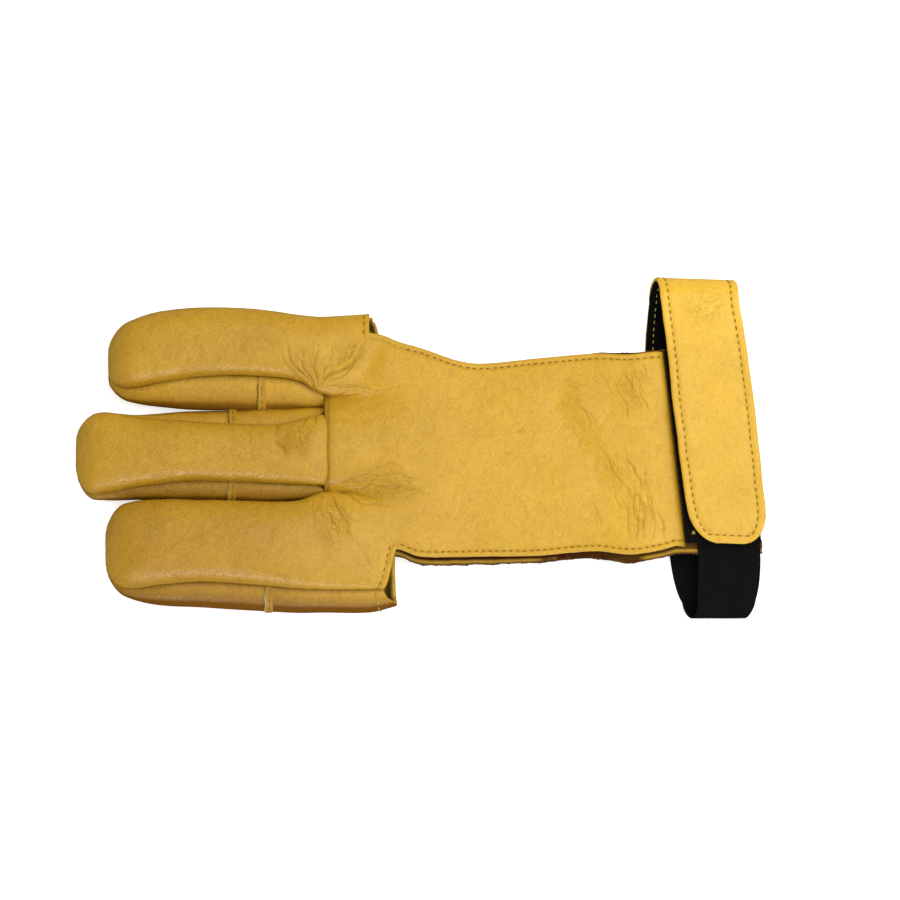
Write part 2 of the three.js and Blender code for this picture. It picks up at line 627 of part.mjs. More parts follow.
// Distance from the web to each welt, as a share of the finger's length
const WELT_PLACES = [
  { finger: RING, side: "high", at: 0.3, name: "ring_outer" },
  { finger: RING, side: "low", at: 0.29, name: "ring_inner" },
  { finger: MIDDLE, side: "high", at: 0.37, name: "middle_high" },
  { finger: MIDDLE, side: "low", at: 0.37, name: "middle_low" },
  { finger: INDEX, side: "high", at: 0.3, name: "index_inner" },
  { finger: INDEX, side: "low", at: 0.25, name: "index_outer" },
];
for (const place of WELT_PLACES) {
  const { finger, side, name } = place;
  place.x = -finger.length * place.at;
  const start = -finger.length + GUSSET_START;
  const end = place.x - WELT_WIDTH / 2 - GAP;
  add(name + "_tip_gusset", COLOURS.leather, gussetStrip(finger, side, start, end));
  add(name + "_welt", COLOURS.welt, welt(finger, side, place.x));
}
const weltOf = (name) => WELT_PLACES.find((place) => place.name === name).x;
const half = WELT_WIDTH / 2 + GAP;
add("ring_side_gusset", COLOURS.leather,
  gussetStrip(RING, "high", weltOf("ring_outer") + half, RING_OPENING, RING_FLARE));
add("index_side_gusset", COLOURS.leather,
  gussetStrip(INDEX, "low", weltOf("index_outer") + half, INDEX_OPENING - INDEX_OPENING_SLANT, INDEX_FLARE));
add("ring_middle_web_gusset", COLOURS.leather,
  webGusset(RING, MIDDLE, weltOf("ring_inner"), weltOf("middle_high")));
add("middle_index_web_gusset", COLOURS.leather,
  webGusset(MIDDLE, INDEX, weltOf("middle_low"), weltOf("index_inner")));

// Under layer of the hand: it follows the back leather and runs on as a tab at the wrist.
// row runs as in the back leather, and from 3 to 4 over the tab.
function underPoint(row, column) {
  const far = 2 * LEG + CENTRE - OUTER;
  const inRow = Math.min(row, 3);
  const s = handShare(column);
  const face = backPoint(inRow, column);
  const out = normalOf(backPoint, inRow, column, [2, OUTER], [3, far]);
  face.addScaledVector(out, -(LEATHER + SEAM_GAP));
  const high = Math.max(0, 1 - 2 * s) ** 8;
  const low = Math.max(0, 2 * s - 1) ** 8;
  face.y += LINING_LIP_HIGH * high - LINING_LIP_LOW * low;
  face.z -= (GAP / 2) * (high + low);
  if (row >= 3) {
    face.x = bodyEnd(face.y) + (row - 3) * WRIST_TAB;
    face.z = LINING_TOP;
  }
  return face;
}

const underColumns = steps(2 * (LEG - OUTER) + CENTRE, OUTER, 2 * LEG + CENTRE - OUTER);
add("under_layer", COLOURS.under, sheet({
  along: [2 + LINING_SETBACK / BODY_LENGTH, ...steps(13, 2, 3).slice(1), ...steps(4, 3, 4).slice(1)],
  across: underColumns,
  surface: underPoint,
  wall: LEATHER,
}));

// Wrist band
const BAND_MIDDLE = (BAND_HIGH + BAND_LOW) / 2;
const BAND_HALF = (BAND_HIGH - BAND_LOW) / 2;
const bandX = (run, y) => BAND_X + STRAP_WIDTH * follow(BAND_ROWS, run, (y - BAND_MIDDLE) / BAND_HALF);
const bandStep = (y) => TAPE_STEP * ease((STRAP_END + ELASTIC_TUCK + BAND_RAMP - y) / BAND_RAMP);

// Loop tape on the wrist tab
const TAPE_ROWS = steps(4, 2 * GAP, WRIST_TAB - GAP).map((x) => 3 + x / WRIST_TAB);
add("loop_tape", COLOURS.tape, sheet({
  along: TAPE_ROWS,
  across: steps(18, OUTER + 0.2, 2 * LEG + CENTRE - OUTER - 0.2),
  surface: (row, column) => {
    const p = underPoint(row, column);
    p.z = PATCH_TOP + bandStep(p.y);
    return p;
  },
  wall: TAPE,
}));

// A band's centre line: up its upper run, round a fold, and along its lower run. Lengths along
// it are measured from the start of the upper run.
function bandLine({ start, fold, end, top, bottom, topStep, bottomStep }) {
  const radius = (top - bottom) / 2;
  const way = Math.sign(fold - start);
  const turn = fold - way * radius;
  const upper = Math.abs(turn - start);
  const around = Math.PI * radius;
  const lower = Math.abs(turn - end);
  const at = (length) => {
    if (length <= upper) {
      const y = start + way * length;
      return new THREE.Vector3(bandX("front", y), y, top + topStep(y));
    }
    if (length >= upper + around) {
      const y = turn - way * (length - upper - around);
      return new THREE.Vector3(bandX("rear", y), y, bottom + bottomStep(y));
    }
    const angle = (length - upper) / radius;
    const x = mix(bandX("front", turn), bandX("rear", turn), (1 - Math.cos(angle)) / 2);
    const y = turn + way * radius * Math.sin(angle);
    return new THREE.Vector3(x, y, (top + bottom) / 2 + radius * Math.cos(angle));
  };
  return { at, upper, around, lower, whole: upper + around + lower, way };
}

// A flat band of some width along a centre line, folded at a slight tilt.
function band({ line, along, width, wall, shift = 0, tilt = 0 }) {
  const wide = new THREE.Vector3(1, -tilt, 0);
  const surface = (length, side) => {
    const middle = line.at(length);
    const ahead = line.at(length + 0.2).sub(line.at(length - 0.2)).normalize();
    const out = ahead.clone().cross(wide).multiplyScalar(-line.way).normalize();
    return middle.addScaledVector(wide, (side * width(length)) / 2).addScaledVector(out, shift + wall / 2);
  };
  return sheet({ along, across: steps(4, -1, 1), surface, wall, back: line.way });
}

// Rows along a band: even on its two runs, closer round the fold and on a step.
function bandRows(line, upperCount, foldCount, lowerCount, tip, stepFrom) {
  const onStep = steps(4, stepFrom, stepFrom + BAND_RAMP);
  const rows = [
    ...(tip ? steps(4).map((t) => tip * (1 - Math.cos((t * Math.PI) / 2))) : [0]),
    ...steps(upperCount, tip, line.upper).slice(1),
    ...steps(foldCount, line.upper, line.upper + line.around).slice(1),
    ...steps(lowerCount, line.upper + line.around, line.whole).slice(1),
  ].filter((row) => row < onStep[0] - 1.5 || row > onStep[4] + 1.5);
  return [...rows, ...onStep].sort((a, b) => a - b);
}

const strapLine = bandLine({
  start: STRAP_END,
  fold: BAND_HIGH - LEATHER / 2,
  end: STRAP_REAR_END,
  top: STRAP_BOTTOM + LEATHER / 2,
  bottom: LEATHER / 2,
  topStep: bandStep,
  bottomStep: () => 0,
});
function strapWidth(length, inset) {
  const t = clamp01((length - inset) / STRAP_TIP);
  const share = mix(STRAP_TIP_FLAT, 1, Math.sqrt(1 - (1 - t) ** 2));
  return STRAP_WIDTH * share - 2 * inset;
}
const STRAP_ROWS = bandRows(strapLine, 9, 8, 5, STRAP_TIP, ELASTIC_TUCK);
add("strap", COLOURS.leather, band({
  line: strapLine,
  along: STRAP_ROWS,
  width: (length) => strapWidth(length, 0),
  wall: LEATHER,
  tilt: STRAP_TILT,
}));

// Hook tape: the strap's lining, inside the loop
const hookEnd = strapLine.whole - ELASTIC_OVERLAP - BAND_RAMP;
const hookRows = STRAP_ROWS.filter((length) => length < hookEnd - 1);
hookRows[0] = TAPE_INSET;
hookRows.push(hookEnd);
add("hook_tape", COLOURS.tape, band({
  line: strapLine,
  along: hookRows,
  width: (length) => strapWidth(length, TAPE_INSET),
  wall: TAPE,
  tilt: STRAP_TILT,
  shift: -(LEATHER / 2 + GAP + TAPE / 2),
}));

// Elastic: held on the wrist tab under the loop tape, round its own fold and up to the strap
const elasticLine = bandLine({
  start: STRAP_END + ELASTIC_TUCK - BAND_RAMP / 3,
  fold: BAND_LOW + ELASTIC / 2,
  end: STRAP_REAR_END + ELASTIC_OVERLAP,
  top: LINING_TOP + GAP + ELASTIC / 2,
  bottom: ELASTIC / 2,
  topStep: () => 0,
  bottomStep: (y) => (LEATHER + GAP) * ease((y - STRAP_REAR_END + BAND_RAMP + 1) / BAND_RAMP),
});
function elasticWidth(length) {
  const away = (length - elasticLine.upper - elasticLine.around / 2) / (elasticLine.around / 2);
  return ELASTIC_WIDTH * (1 - ELASTIC_NARROWING * Math.exp(-(away ** 2)));
}
add("elastic_band", COLOURS.elastic, band({
  line: elasticLine,
  along: bandRows(elasticLine, 5, 8, 6, 0, elasticLine.whole - ELASTIC_OVERLAP - BAND_RAMP - 1),
  width: elasticWidth,
  wall: ELASTIC,
}));

// The origin goes under the middle of the glove's box.
const box = new THREE.Box3().setFromObject(group);
const centre = box.getCenter(new THREE.Vector3());
group.position.set(-centre.x, -centre.y, -box.min.z);

export default group;
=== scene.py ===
import math
from types import SimpleNamespace

import bpy
import numpy as np
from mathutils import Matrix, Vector
from mathutils.kdtree import KDTree


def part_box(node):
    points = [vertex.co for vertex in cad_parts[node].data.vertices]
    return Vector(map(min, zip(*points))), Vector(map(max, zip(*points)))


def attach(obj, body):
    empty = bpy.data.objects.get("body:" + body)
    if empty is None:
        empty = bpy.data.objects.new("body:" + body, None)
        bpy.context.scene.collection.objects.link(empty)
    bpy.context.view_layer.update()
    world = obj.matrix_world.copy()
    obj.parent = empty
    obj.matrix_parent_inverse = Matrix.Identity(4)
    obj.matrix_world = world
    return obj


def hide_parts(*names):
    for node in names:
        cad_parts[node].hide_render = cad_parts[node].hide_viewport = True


# A three-finger archery glove of soft leather, lying palm down and fastened at the wrist.
# Shapes are worked out in millimetres, with the webs at X = 0 and the middle finger's axis at
# Y = 0, by the same functions as the solids and nearly the same sizes. Then they are moved to
# the frame's origin and scaled to metres.
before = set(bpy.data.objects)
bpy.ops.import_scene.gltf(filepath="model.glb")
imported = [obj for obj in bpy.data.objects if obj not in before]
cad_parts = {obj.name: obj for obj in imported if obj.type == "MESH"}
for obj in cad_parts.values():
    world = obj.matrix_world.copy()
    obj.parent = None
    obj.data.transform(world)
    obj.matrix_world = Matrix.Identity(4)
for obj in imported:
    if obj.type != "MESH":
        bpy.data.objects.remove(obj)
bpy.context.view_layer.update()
MM = 0.001

# Sizes
LEATHER = 1.2
TAPE = 0.8
TAPE_CLEARANCE = 0.6
ELASTIC = 0.8
GAP = 0.3
SEAM_GAP = 0.5
SEWN_GAP = 0.12  # the edges of two sewn leathers nearly touch
RING_SPACING = 1.7
INDEX_SPACING = 0.5
TIP_LENGTH = 12
TIP_ROUND_SHARE = 0.06
TIP_SEAM_HEIGHT = 5
HEM_HEIGHT = 2
HEM_TURN = 2
HEM_INSET = 1.6
GUSSET_START = 1.4
GUSSET_OPENING = 20
WEB_SETBACK = 4.2
WEB_BULGE = 2.4
BODY_LENGTH = 116.7
BODY_WIDTH = 66
BODY_CROWN = 1.6
RING_OPENING = 15
INDEX_OPENING = 24.2
INDEX_OPENING_SLANT = 4.6
RING_FLARE = 1.0
INDEX_FLARE = 4.7
PALM_RING_REACH = 18
PALM_INDEX_REACH = 24.5
BLEND_LENGTH = 30
SEAM_DIP = 0.9
SEAM_DIP_REACH = 5
ROOT_DIP = 0.5  # the middle finger's own end lies a little over the hand's leather
LINING_LIP_HIGH = 1
LINING_LIP_LOW = 2.2
WRIST_TAB = 25.4
BAND_LEAN = math.tan(math.radians(6.1))
STRAP_WIDTH = 26.4
STRAP_TILT = 0.04
STRAP_CLEARANCE = 1.2
STRAP_TIP = 12
STRAP_TIP_FLAT = 0.3
TAPE_INSET = 0.7
ELASTIC_WIDTH = 21
ELASTIC_NARROWING = 0.14
BAND_ROOM = 7.2
BAND_HIGH = 60
BAND_LOW = -54.7
STRAP_END = -31.1
STRAP_REAR_END = -2
ELASTIC_OVERLAP = 10
ELASTIC_TUCK = 8
BAND_RAMP = 7
ROUNDNESS = 0.77

FLOOR_STACK = LEATHER + GAP + TAPE
LINING_TOP = FLOOR_STACK + BAND_ROOM + LEATHER
WRIST_TOP = LINING_TOP + GAP + LEATHER
TAPE_STEP = ELASTIC + GAP
PATCH_TOP = LINING_TOP + GAP + TAPE
STRAP_BOTTOM = PATCH_TOP + TAPE_CLEARANCE + TAPE + GAP
BAND_X = BODY_LENGTH + STRAP_CLEARANCE + STRAP_WIDTH / 2

# Columns of the back leather: ring finger, middle of the hand, index finger
LEG = 12
OUTER = 5
CENTRE = 8
FAR = 2 * LEG + CENTRE


def table(names, rows):
    return dict(zip(names.split(), np.array(rows, float).T))


FINGER_COLUMNS = "at high low skirt_high skirt_low crown shoulder_high shoulder_low"
RING = SimpleNamespace(length=72.6, width=33, height=18, hook_high=28, hook_low=14)
MIDDLE = SimpleNamespace(length=83, width=29.6, height=17.5, hook_high=14, hook_low=14)
INDEX = SimpleNamespace(length=72.6, width=36, height=19, hook_high=28, hook_low=14)
RING.axis = MIDDLE.width / 2 + RING_SPACING + RING.width / 2
MIDDLE.axis = 0
INDEX.axis = -(MIDDLE.width / 2 + INDEX_SPACING + INDEX.width / 2)
RING.rows = table(FINGER_COLUMNS, [
    [0.0, 0.04, 0.175, 0.04, 0.2, 0.97, 0.5, 0.6],
    [0.05, 0.28, 0.29, 0.27, 0.38, 0.97, 0.5, 0.6],
    [0.12, 0.38, 0.32, 0.36, 0.45, 0.98, 0.5, 0.6],
    [0.25, 0.465, 0.27, 0.44, 0.485, 1.0, 0.5, 0.62],
    [0.45, 0.5, 0.21, 0.475, 0.51, 0.98, 0.5, 0.62],
    [0.7, 0.485, 0.21, 0.46, 0.507, 0.93, 0.5, 0.6],
    [0.88, 0.435, 0.26, 0.415, 0.49, 0.88, 0.5, 0.6],
    [1.0, 0.42, 0.4, 0.4, 0.47, 0.82, 0.48, 0.56],
    [1.21, 0.455, 0.42, 0.43, 0.47, 0.72, 0.44, 0.5],
])
MIDDLE.rows = table(FINGER_COLUMNS, [
    [0.0, 0.165, 0.11, 0.165, 0.13, 0.97, 0.6, 0.6],
    [0.05, 0.41, 0.42, 0.42, 0.45, 0.97, 0.6, 0.6],
    [0.12, 0.475, 0.44, 0.49, 0.5, 0.98, 0.6, 0.6],
    [0.25, 0.41, 0.385, 0.47, 0.495, 1.0, 0.62, 0.62],
    [0.45, 0.36, 0.32, 0.505, 0.5, 0.98, 0.62, 0.62],
    [0.65, 0.335, 0.32, 0.518, 0.5, 0.94, 0.6, 0.6],
    [0.82, 0.335, 0.345, 0.525, 0.495, 0.9, 0.6, 0.6],
    [0.92, 0.4, 0.36, 0.515, 0.46, 0.88, 0.6, 0.6],
    [1.0, 0.45, 0.37, 0.51, 0.41, 0.86, 0.58, 0.58],
])
INDEX.rows = table(FINGER_COLUMNS, [
    [0.0, 0.14, 0.06, 0.14, 0.08, 0.97, 0.5, 0.6],
    [0.05, 0.39, 0.28, 0.37, 0.32, 0.97, 0.5, 0.6],
    [0.12, 0.465, 0.335, 0.44, 0.41, 0.98, 0.5, 0.6],
    [0.25, 0.49, 0.312, 0.465, 0.467, 1.0, 0.5, 0.62],
    [0.45, 0.485, 0.283, 0.46, 0.487, 0.98, 0.5, 0.62],
    [0.7, 0.475, 0.308, 0.45, 0.514, 0.93, 0.5, 0.6],
    [0.88, 0.485, 0.342, 0.46, 0.533, 0.88, 0.5, 0.6],
    [1.0, 0.57, 0.347, 0.54, 0.53, 0.82, 0.48, 0.58],
    [1.21, 0.58, 0.345, 0.55, 0.53, 0.74, 0.46, 0.54],
    [1.34, 0.58, 0.345, 0.55, 0.47, 0.7, 0.46, 0.52],
])
BODY_ROWS = table("at high low rise", [
    [0.0, 0.62, 0.5, 0.76],
    [0.15, 0.605, 0.49, 0.68],
    [0.21, 0.57, 0.488, 0.65],
    [0.27, 0.545, 0.525, 0.62],
    [0.38, 0.48, 0.527, 0.58],
    [0.45, 0.465, 0.523, 0.56],
    [0.6, 0.489, 0.52, 0.55],
    [0.77, 0.514, 0.497, 0.57],
    [0.87, 0.506, 0.518, 0.6],
    [0.95, 0.52, 0.5, 0.62],
    [1.0, 0.52, 0.475, 0.62],
])
FOLDS = [
    [0.03, 0.3, 0.13, 0.52, -1.3, 0.055],
    [0.09, 0.24, 0.18, 0.46, 0.25, 0.06],
    [0.66, 0.22, 0.9, -0.36, -0.9, 0.09],
    [0.74, 0.26, 0.97, -0.3, 0.6, 0.09],
    [0.1, -0.22, 0.34, -0.14, 0.2, 0.07],
]
BAND_ROWS = table("at front rear", [
    [-1.0, 0.05, 0.05],
    [-0.85, 0.12, -0.1],
    [-0.6, 0.14, -0.2],
    [-0.05, 0.0, -0.29],
    [0.55, -0.135, -0.385],
    [0.82, -0.21, -0.35],
    [1.0, -0.25, -0.29],
])


# Small helpers
def mix(a, b, t):
    return a + (b - a) * t


def ease(t):
    t = np.clip(t, 0, 1)
    return t * t * (3 - 2 * t)


def vec(x, y, z):
    return np.stack(np.broadcast_arrays(np.asarray(x, float), y, z), axis=-1)


def follow(rows, column, at):
    """A smooth curve through one column of a table, flat beyond its ends."""
    xs, ys = rows["at"], rows[column]
    last = len(xs) - 1
    k = np.arange(last + 1)
    low, high = np.maximum(k - 1, 0), np.minimum(k + 1, last)
    slope = (ys[high] - ys[low]) / (xs[high] - xs[low])
    at = np.clip(at, xs[0], xs[-1])
    i = np.clip(np.searchsorted(xs, at, side="right") - 1, 0, last - 1)
    span = xs[i + 1] - xs[i]
    t = (at - xs[i]) / span
    return (
        ys[i] * (2 * t**3 - 3 * t**2 + 1)
        + slope[i] * span * (t**3 - 2 * t**2 + t)
        + ys[i + 1] * (3 * t**2 - 2 * t**3)
        + slope[i + 1] * span * (t**3 - t**2)
    )


def join(*pieces):
    """Rising runs of numbers end to end, each shared end once."""
    return np.concatenate([pieces[0]] + [piece[1:] for piece in pieces[1:]])


def bell(away, width):
    return np.exp(-((away / width) ** 2))


def run_of(line):
    """How far along a line of points each of them lies."""
    return np.concatenate([[0], np.cumsum(np.linalg.norm(np.diff(line, axis=0), axis=1))])


def read_off(at, along, values):
    """Points between those of a line, at these lengths along it."""
    return np.stack([np.interp(at, along, values[:, k]) for k in range(3)], axis=-1)


def index_of(values, at):
    return int(np.argmin(abs(values - at)))


def unit(directions, least=1e-9):
    return directions / np.maximum(np.linalg.norm(directions, axis=-1, keepdims=True), least)


def beside(x, y, start, run):
    """The share of a straight run that lies nearest to each place, and the way from there."""
    share = np.clip(((x - start[0]) * run[0] + (y - start[1]) * run[1]) / (run @ run), 0, 1)
    return share, x - start[0] - share * run[0], y - start[1] - share * run[1]


def at_corners(cells):
    """What the cells round each corner of a grid add up to."""
    n, m = cells.shape[:2]
    out = np.zeros((n + 1, m + 1) + cells.shape[2:])
    for di in (0, 1):
        for dj in (0, 1):
            out[di : n + di, dj : m + dj] += cells
    return out


CELLS, LAYERS = 64, 24
LATTICE = np.random.RandomState(11).rand(CELLS, CELLS, LAYERS)


def noise(x, y, size, layer):
    """Smooth noise from -1 to 1 over a plane, with bumps of about that size."""
    u, v = np.asarray(x) / size + 17.3 * layer, np.asarray(y) / size + 9.1 * layer
    i, j = np.floor(u).astype(int), np.floor(v).astype(int)
    fu, fv = ease(u - i), ease(v - j)
    grid = LATTICE[:, :, layer % LAYERS]

    def at(a, b):
        return grid[a % CELLS, b % CELLS]

    low = mix(at(i, j), at(i + 1, j), fu)
    high = mix(at(i, j + 1), at(i + 1, j + 1), fu)
    return 2 * mix(low, high, fv) - 1


# Finger shape
SIGN = {"high": 1, "low": -1}


def across(f, side, column, x):
    at = 1 + x / f.length
    tip = f.rows[column][0]
    near = np.minimum(1, np.maximum(at, 0.002) / TIP_ROUND_SHARE)
    share = tip + (follow(f.rows, column, at) - tip) * near ** ((near - 1) / 2)
    return f.axis + SIGN[side] * f.width * share


def tip_cap(f, x):
    t = np.clip((x + f.length) / TIP_LENGTH, 0, 1)
    return (1 - (1 - t) ** 2.2) ** (1 / 2.2)


def gusset_share(f, x):
    return np.sqrt(np.clip((x + f.length - GUSSET_START / 2) / GUSSET_OPENING, 0, 1))


def seam_height(f, side, x):
    shoulder = f.height * follow(f.rows, "shoulder_" + side, 1 + x / f.length)
    return mix(TIP_SEAM_HEIGHT, shoulder - LEATHER, gusset_share(f, x))


def hem(f, side, x):
    sign = SIGN[side]
    share = gusset_share(f, x)
    y = across(f, side, "skirt_" + side, x) - sign * HEM_INSET * share
    return y, mix(TIP_SEAM_HEIGHT - SEWN_GAP, HEM_HEIGHT, share)


def back_of_finger(f, x, t):
    x, t = np.broadcast_arrays(np.asarray(x, float), np.asarray(t, float))
    at = 1 + x / f.length
    share = gusset_share(f, x)
    hook_high, hook_low = (math.radians(h) * share for h in (f.hook_high, f.hook_low))
    angle = mix(-hook_high, math.pi + hook_low, t)
    c, s = np.cos(angle), np.sin(angle)
    high, low = across(f, "high", "high", x), across(f, "low", "low", x)
    y = (high + low) / 2 + (high - low) / 2 * np.sign(c) * np.abs(c) ** ROUNDNESS
    cap = tip_cap(f, x)
    shoulders = [follow(f.rows, "shoulder_" + side, at) for side in ("high", "low")]
    shoulder = f.height * mix(shoulders[0], shoulders[1], (1 - c) / 2)
    crown = f.height * follow(f.rows, "crown", at)
    lift = np.abs(s) ** ROUNDNESS
    top = mix(TIP_SEAM_HEIGHT, mix(shoulder, crown, lift), cap)
    edge = mix(TIP_SEAM_HEIGHT, shoulder, cap)
    hook = np.where(c > 0, hook_high, hook_low)
    seam = np.where(c > 0, seam_height(f, "high", x), seam_height(f, "low", x))
    hooked = lift / np.maximum(np.sin(hook), 1e-6) ** ROUNDNESS
    under = mix(edge, np.minimum(edge, seam), np.clip(hooked, 0, 1))
    return vec(x, y, np.where((s >= 0) | (hook < 1e-6), top, under))


def gusset_point(f, side, x, v):
    x, v = np.broadcast_arrays(np.asarray(x, float), np.asarray(v, float))
    sign = SIGN[side]
    top = back_of_finger(f, x, 0 if side == "high" else 1)
    from_y, from_z = top[..., 1], top[..., 2] - SEWN_GAP
    to_y, to_z = hem(f, side, x)
    to_z = to_z + GAP
    outline = across(f, side, "skirt_" + side, x)
    height = from_z - to_z
    pull = sign * np.maximum(sign * (outline - (from_y + to_y) / 8) / 0.75, sign * from_y)
    a, b, c, d = (1 - v) ** 3, 3 * (1 - v) ** 2 * v, 3 * (1 - v) * v**2, v**3
    y = a * from_y + (b + c) * pull + d * to_y
    z = a * from_z + b * (from_z - 0.15 * height) + c * (to_z + 0.25 * height) + d * to_z
    return vec(x, y, z)


def palm_of_finger(f, x, t):
    high_y, high_z = hem(f, "high", x)
    low_y, _ = hem(f, "low", x)
    from_edge = (high_y - low_y) * np.minimum(t, 1 - t)
    rim = 1 - np.sqrt(1 - (1 - np.clip(from_edge / HEM_TURN, 0, 1)) ** 2)
    floor = (TIP_SEAM_HEIGHT - SEWN_GAP) * (1 - tip_cap(f, x))
    return vec(x, mix(high_y, low_y, t), mix(floor, high_z, rim))


# Hand shape
def fold_lift(x, y):
    total = 0
    for x0, y0, x1, y1, depth, reach in FOLDS:
        start = np.array([x0 * BODY_LENGTH, y0 * BODY_WIDTH])
        run = np.array([x1 * BODY_LENGTH, y1 * BODY_WIDTH]) - start
        away = np.hypot(*beside(x, y, start, run)[1:])
        total = total + depth * LEATHER * bell(away, reach * BODY_WIDTH)
    return total


def body_end(y):
    return BODY_LENGTH - y * BAND_LEAN


def body_point(x, s):
    at = x / BODY_LENGTH
    high = BODY_WIDTH * follow(BODY_ROWS, "high", at)
    low = -BODY_WIDTH * follow(BODY_ROWS, "low", at)
    y = mix(high, low, s)
    wrist = ease((at - 0.72) / 0.2)
    crown = BODY_CROWN * (1 - (2 * s - 1) ** 2) * (1 - wrist)
    free = MIDDLE.height * follow(BODY_ROWS, "rise", at) + crown + fold_lift(x, y)
    return vec(x, y, mix(free, WRIST_TOP, wrist))


# Where the webs lie between the hand's ring side, 0, and its index side, 1
WEB_RING, WEB_INDEX = (
    (BODY_WIDTH * 0.62 - web) / (BODY_WIDTH * 1.12)
    for web in (RING.axis - RING.width * 0.4, INDEX.axis + INDEX.width * 0.57)
)


def hand_share(column):
    return np.interp(
        column, [OUTER, LEG, LEG + CENTRE, FAR - OUTER], [0, WEB_RING, WEB_INDEX, 1]
    )


def outer_share(column):
    past = np.maximum(OUTER - column, column - (FAR - OUTER))
    return np.clip(past / OUTER, 0, 1)


def back_point(row, column):
    """The back leather. row runs over fingertips (0), webs (1), openings (2), wrist (3)."""
    row, column = np.broadcast_arrays(np.asarray(row, float), np.asarray(column, float))
    s = hand_share(column)
    slack = np.where(row < 1, 1, 0)
    on_ring = column <= LEG + slack
    on_index = column >= LEG + CENTRE - slack
    t = np.clip(np.where(on_ring, column / LEG, (column - LEG - CENTRE) / LEG), 0, 1)
    slant = np.where(on_index, INDEX_OPENING_SLANT * outer_share(column) ** 0.75, 0)
    opening = mix(RING_OPENING, INDEX_OPENING, s) - slant
    end = body_end(mix(0.5, -0.5, s) * BODY_WIDTH)
    x = np.where(row <= 2, opening * np.maximum(0, row - 1), mix(opening, end, row - 2))
    body = body_point(x, s)
    fade = ease(x / BLEND_LENGTH)[..., None]
    out = np.zeros(row.shape + (3,))
    for f, on, edge in ((RING, on_ring, OUTER / LEG), (INDEX, on_index, 1 - OUTER / LEG)):
        in_finger = back_of_finger(f, -f.length * (1 - np.minimum(row, 1)), t)
        leg = back_of_finger(f, x, t)
        outer = outer_share(column)[..., None]
        shift = (body - back_of_finger(f, x, edge)) * fade * (1 - outer)
        in_hand = np.where(outer == 0, mix(leg, body, fade), leg + shift)
        out = np.where(on[..., None], np.where((row <= 1)[..., None], in_finger, in_hand), out)
    middle, most = body, 0
    for f, t, web, past in (
        (RING, 1, WEB_RING, column - LEG), (INDEX, 0, WEB_INDEX, LEG + CENTRE - column)
    ):
        pull = np.maximum(0, 1 - past / (CENTRE / 2)) ** 2
        rise = back_of_finger(f, x, t) - body_point(x, web)
        middle = middle + rise * pull[..., None] * (1 - fade)
        most = np.maximum(most, pull)
    dip = SEAM_DIP * (1 - np.clip(x / SEAM_DIP_REACH, 0, 1)) ** 2
    middle[..., 2] -= dip * (1 - most)
    return np.where((on_ring | on_index)[..., None], out, middle)


def middle_point(x, t):
    p = back_of_finger(MIDDLE, x, t)
    dip = ROOT_DIP * np.clip(1 + x / SEAM_DIP_REACH, 0, 1) ** 2
    p[..., 2] -= dip * (1 - np.abs(2 * t - 1) ** 3)
    return p


PALM_LEG = 6
PALM_WEB = 2
PALM_STARTS = [0, PALM_LEG + PALM_WEB, 2 * (PALM_LEG + PALM_WEB)]
PALM_COLUMNS = 3 * PALM_LEG + 2 * PALM_WEB


def palm_point(row, column):
    row, column = np.broadcast_arrays(np.asarray(row, float), np.asarray(column, float))
    slot = np.searchsorted(PALM_STARTS, column + np.where(row < 1, 1, 0), side="right") - 1
    out = np.zeros(row.shape + (3,))
    share = column / PALM_COLUMNS
    x_hand = (row - 1) * mix(PALM_RING_REACH, PALM_INDEX_REACH, share)
    flatten = 1 - ease(x_hand / (2 * HEM_INSET))
    is_outer = (column < PALM_LEG / 2) | (column > PALM_COLUMNS - PALM_LEG / 2)
    fingers = [RING, MIDDLE, INDEX]
    for k, f in enumerate(fingers):
        leg = column - PALM_STARTS[k]
        t = (1 - np.cos(math.pi * np.clip(leg / PALM_LEG, 0, 1))) / 2
        x = np.where(row <= 1, -f.length * (1 - row), x_hand)
        p = palm_of_finger(f, x, t)
        if k < 2:
            after = palm_of_finger(fingers[k + 1], x, np.zeros_like(x))
            bridge = np.clip((leg - PALM_LEG) / PALM_WEB, 0, 1) * (row >= 1)
            p = mix(p, after, bridge[..., None])
        p[..., 2] *= np.where((row > 1) & ~is_outer, flatten, 1)
        out = np.where((slot == k)[..., None], p, out)
    return out


# Wrist band
BAND_MIDDLE = (BAND_HIGH + BAND_LOW) / 2
BAND_HALF = (BAND_HIGH - BAND_LOW) / 2


def band_x(run, y):
    return BAND_X + STRAP_WIDTH * follow(BAND_ROWS, run, (y - BAND_MIDDLE) / BAND_HALF)


def band_step(y):
    return TAPE_STEP * ease((STRAP_END + ELASTIC_TUCK + BAND_RAMP - y) / BAND_RAMP)


def band_line(start, fold, end, top, bottom, top_step, bottom_step):
    radius = (top - bottom) / 2
    way = 1 if fold > start else -1
    turn = fold - way * radius
    upper, around, lower = abs(turn - start), math.pi * radius, abs(turn - end)

    def at(length):
        length = np.asarray(length, float)
        y_up = start + way * length
        up = vec(band_x("front", y_up), y_up, top + top_step(y_up))
        y_down = turn - way * (length - upper - around)
        down = vec(band_x("rear", y_down), y_down, bottom + bottom_step(y_down))
        angle = (length - upper) / radius
        x_turn = mix(band_x("front", turn), band_x("rear", turn), (1 - np.cos(angle)) / 2)
        bend = vec(
            x_turn,
            turn + way * radius * np.sin(angle),
            (top + bottom) / 2 + radius * np.cos(angle),
        )
        first = (length <= upper)[..., None]
        last = (length >= upper + around)[..., None]
        return np.where(first, up, np.where(last, down, bend))

    return SimpleNamespace(
        at=at, upper=upper, around=around, lower=lower, whole=upper + around + lower, way=way
    )


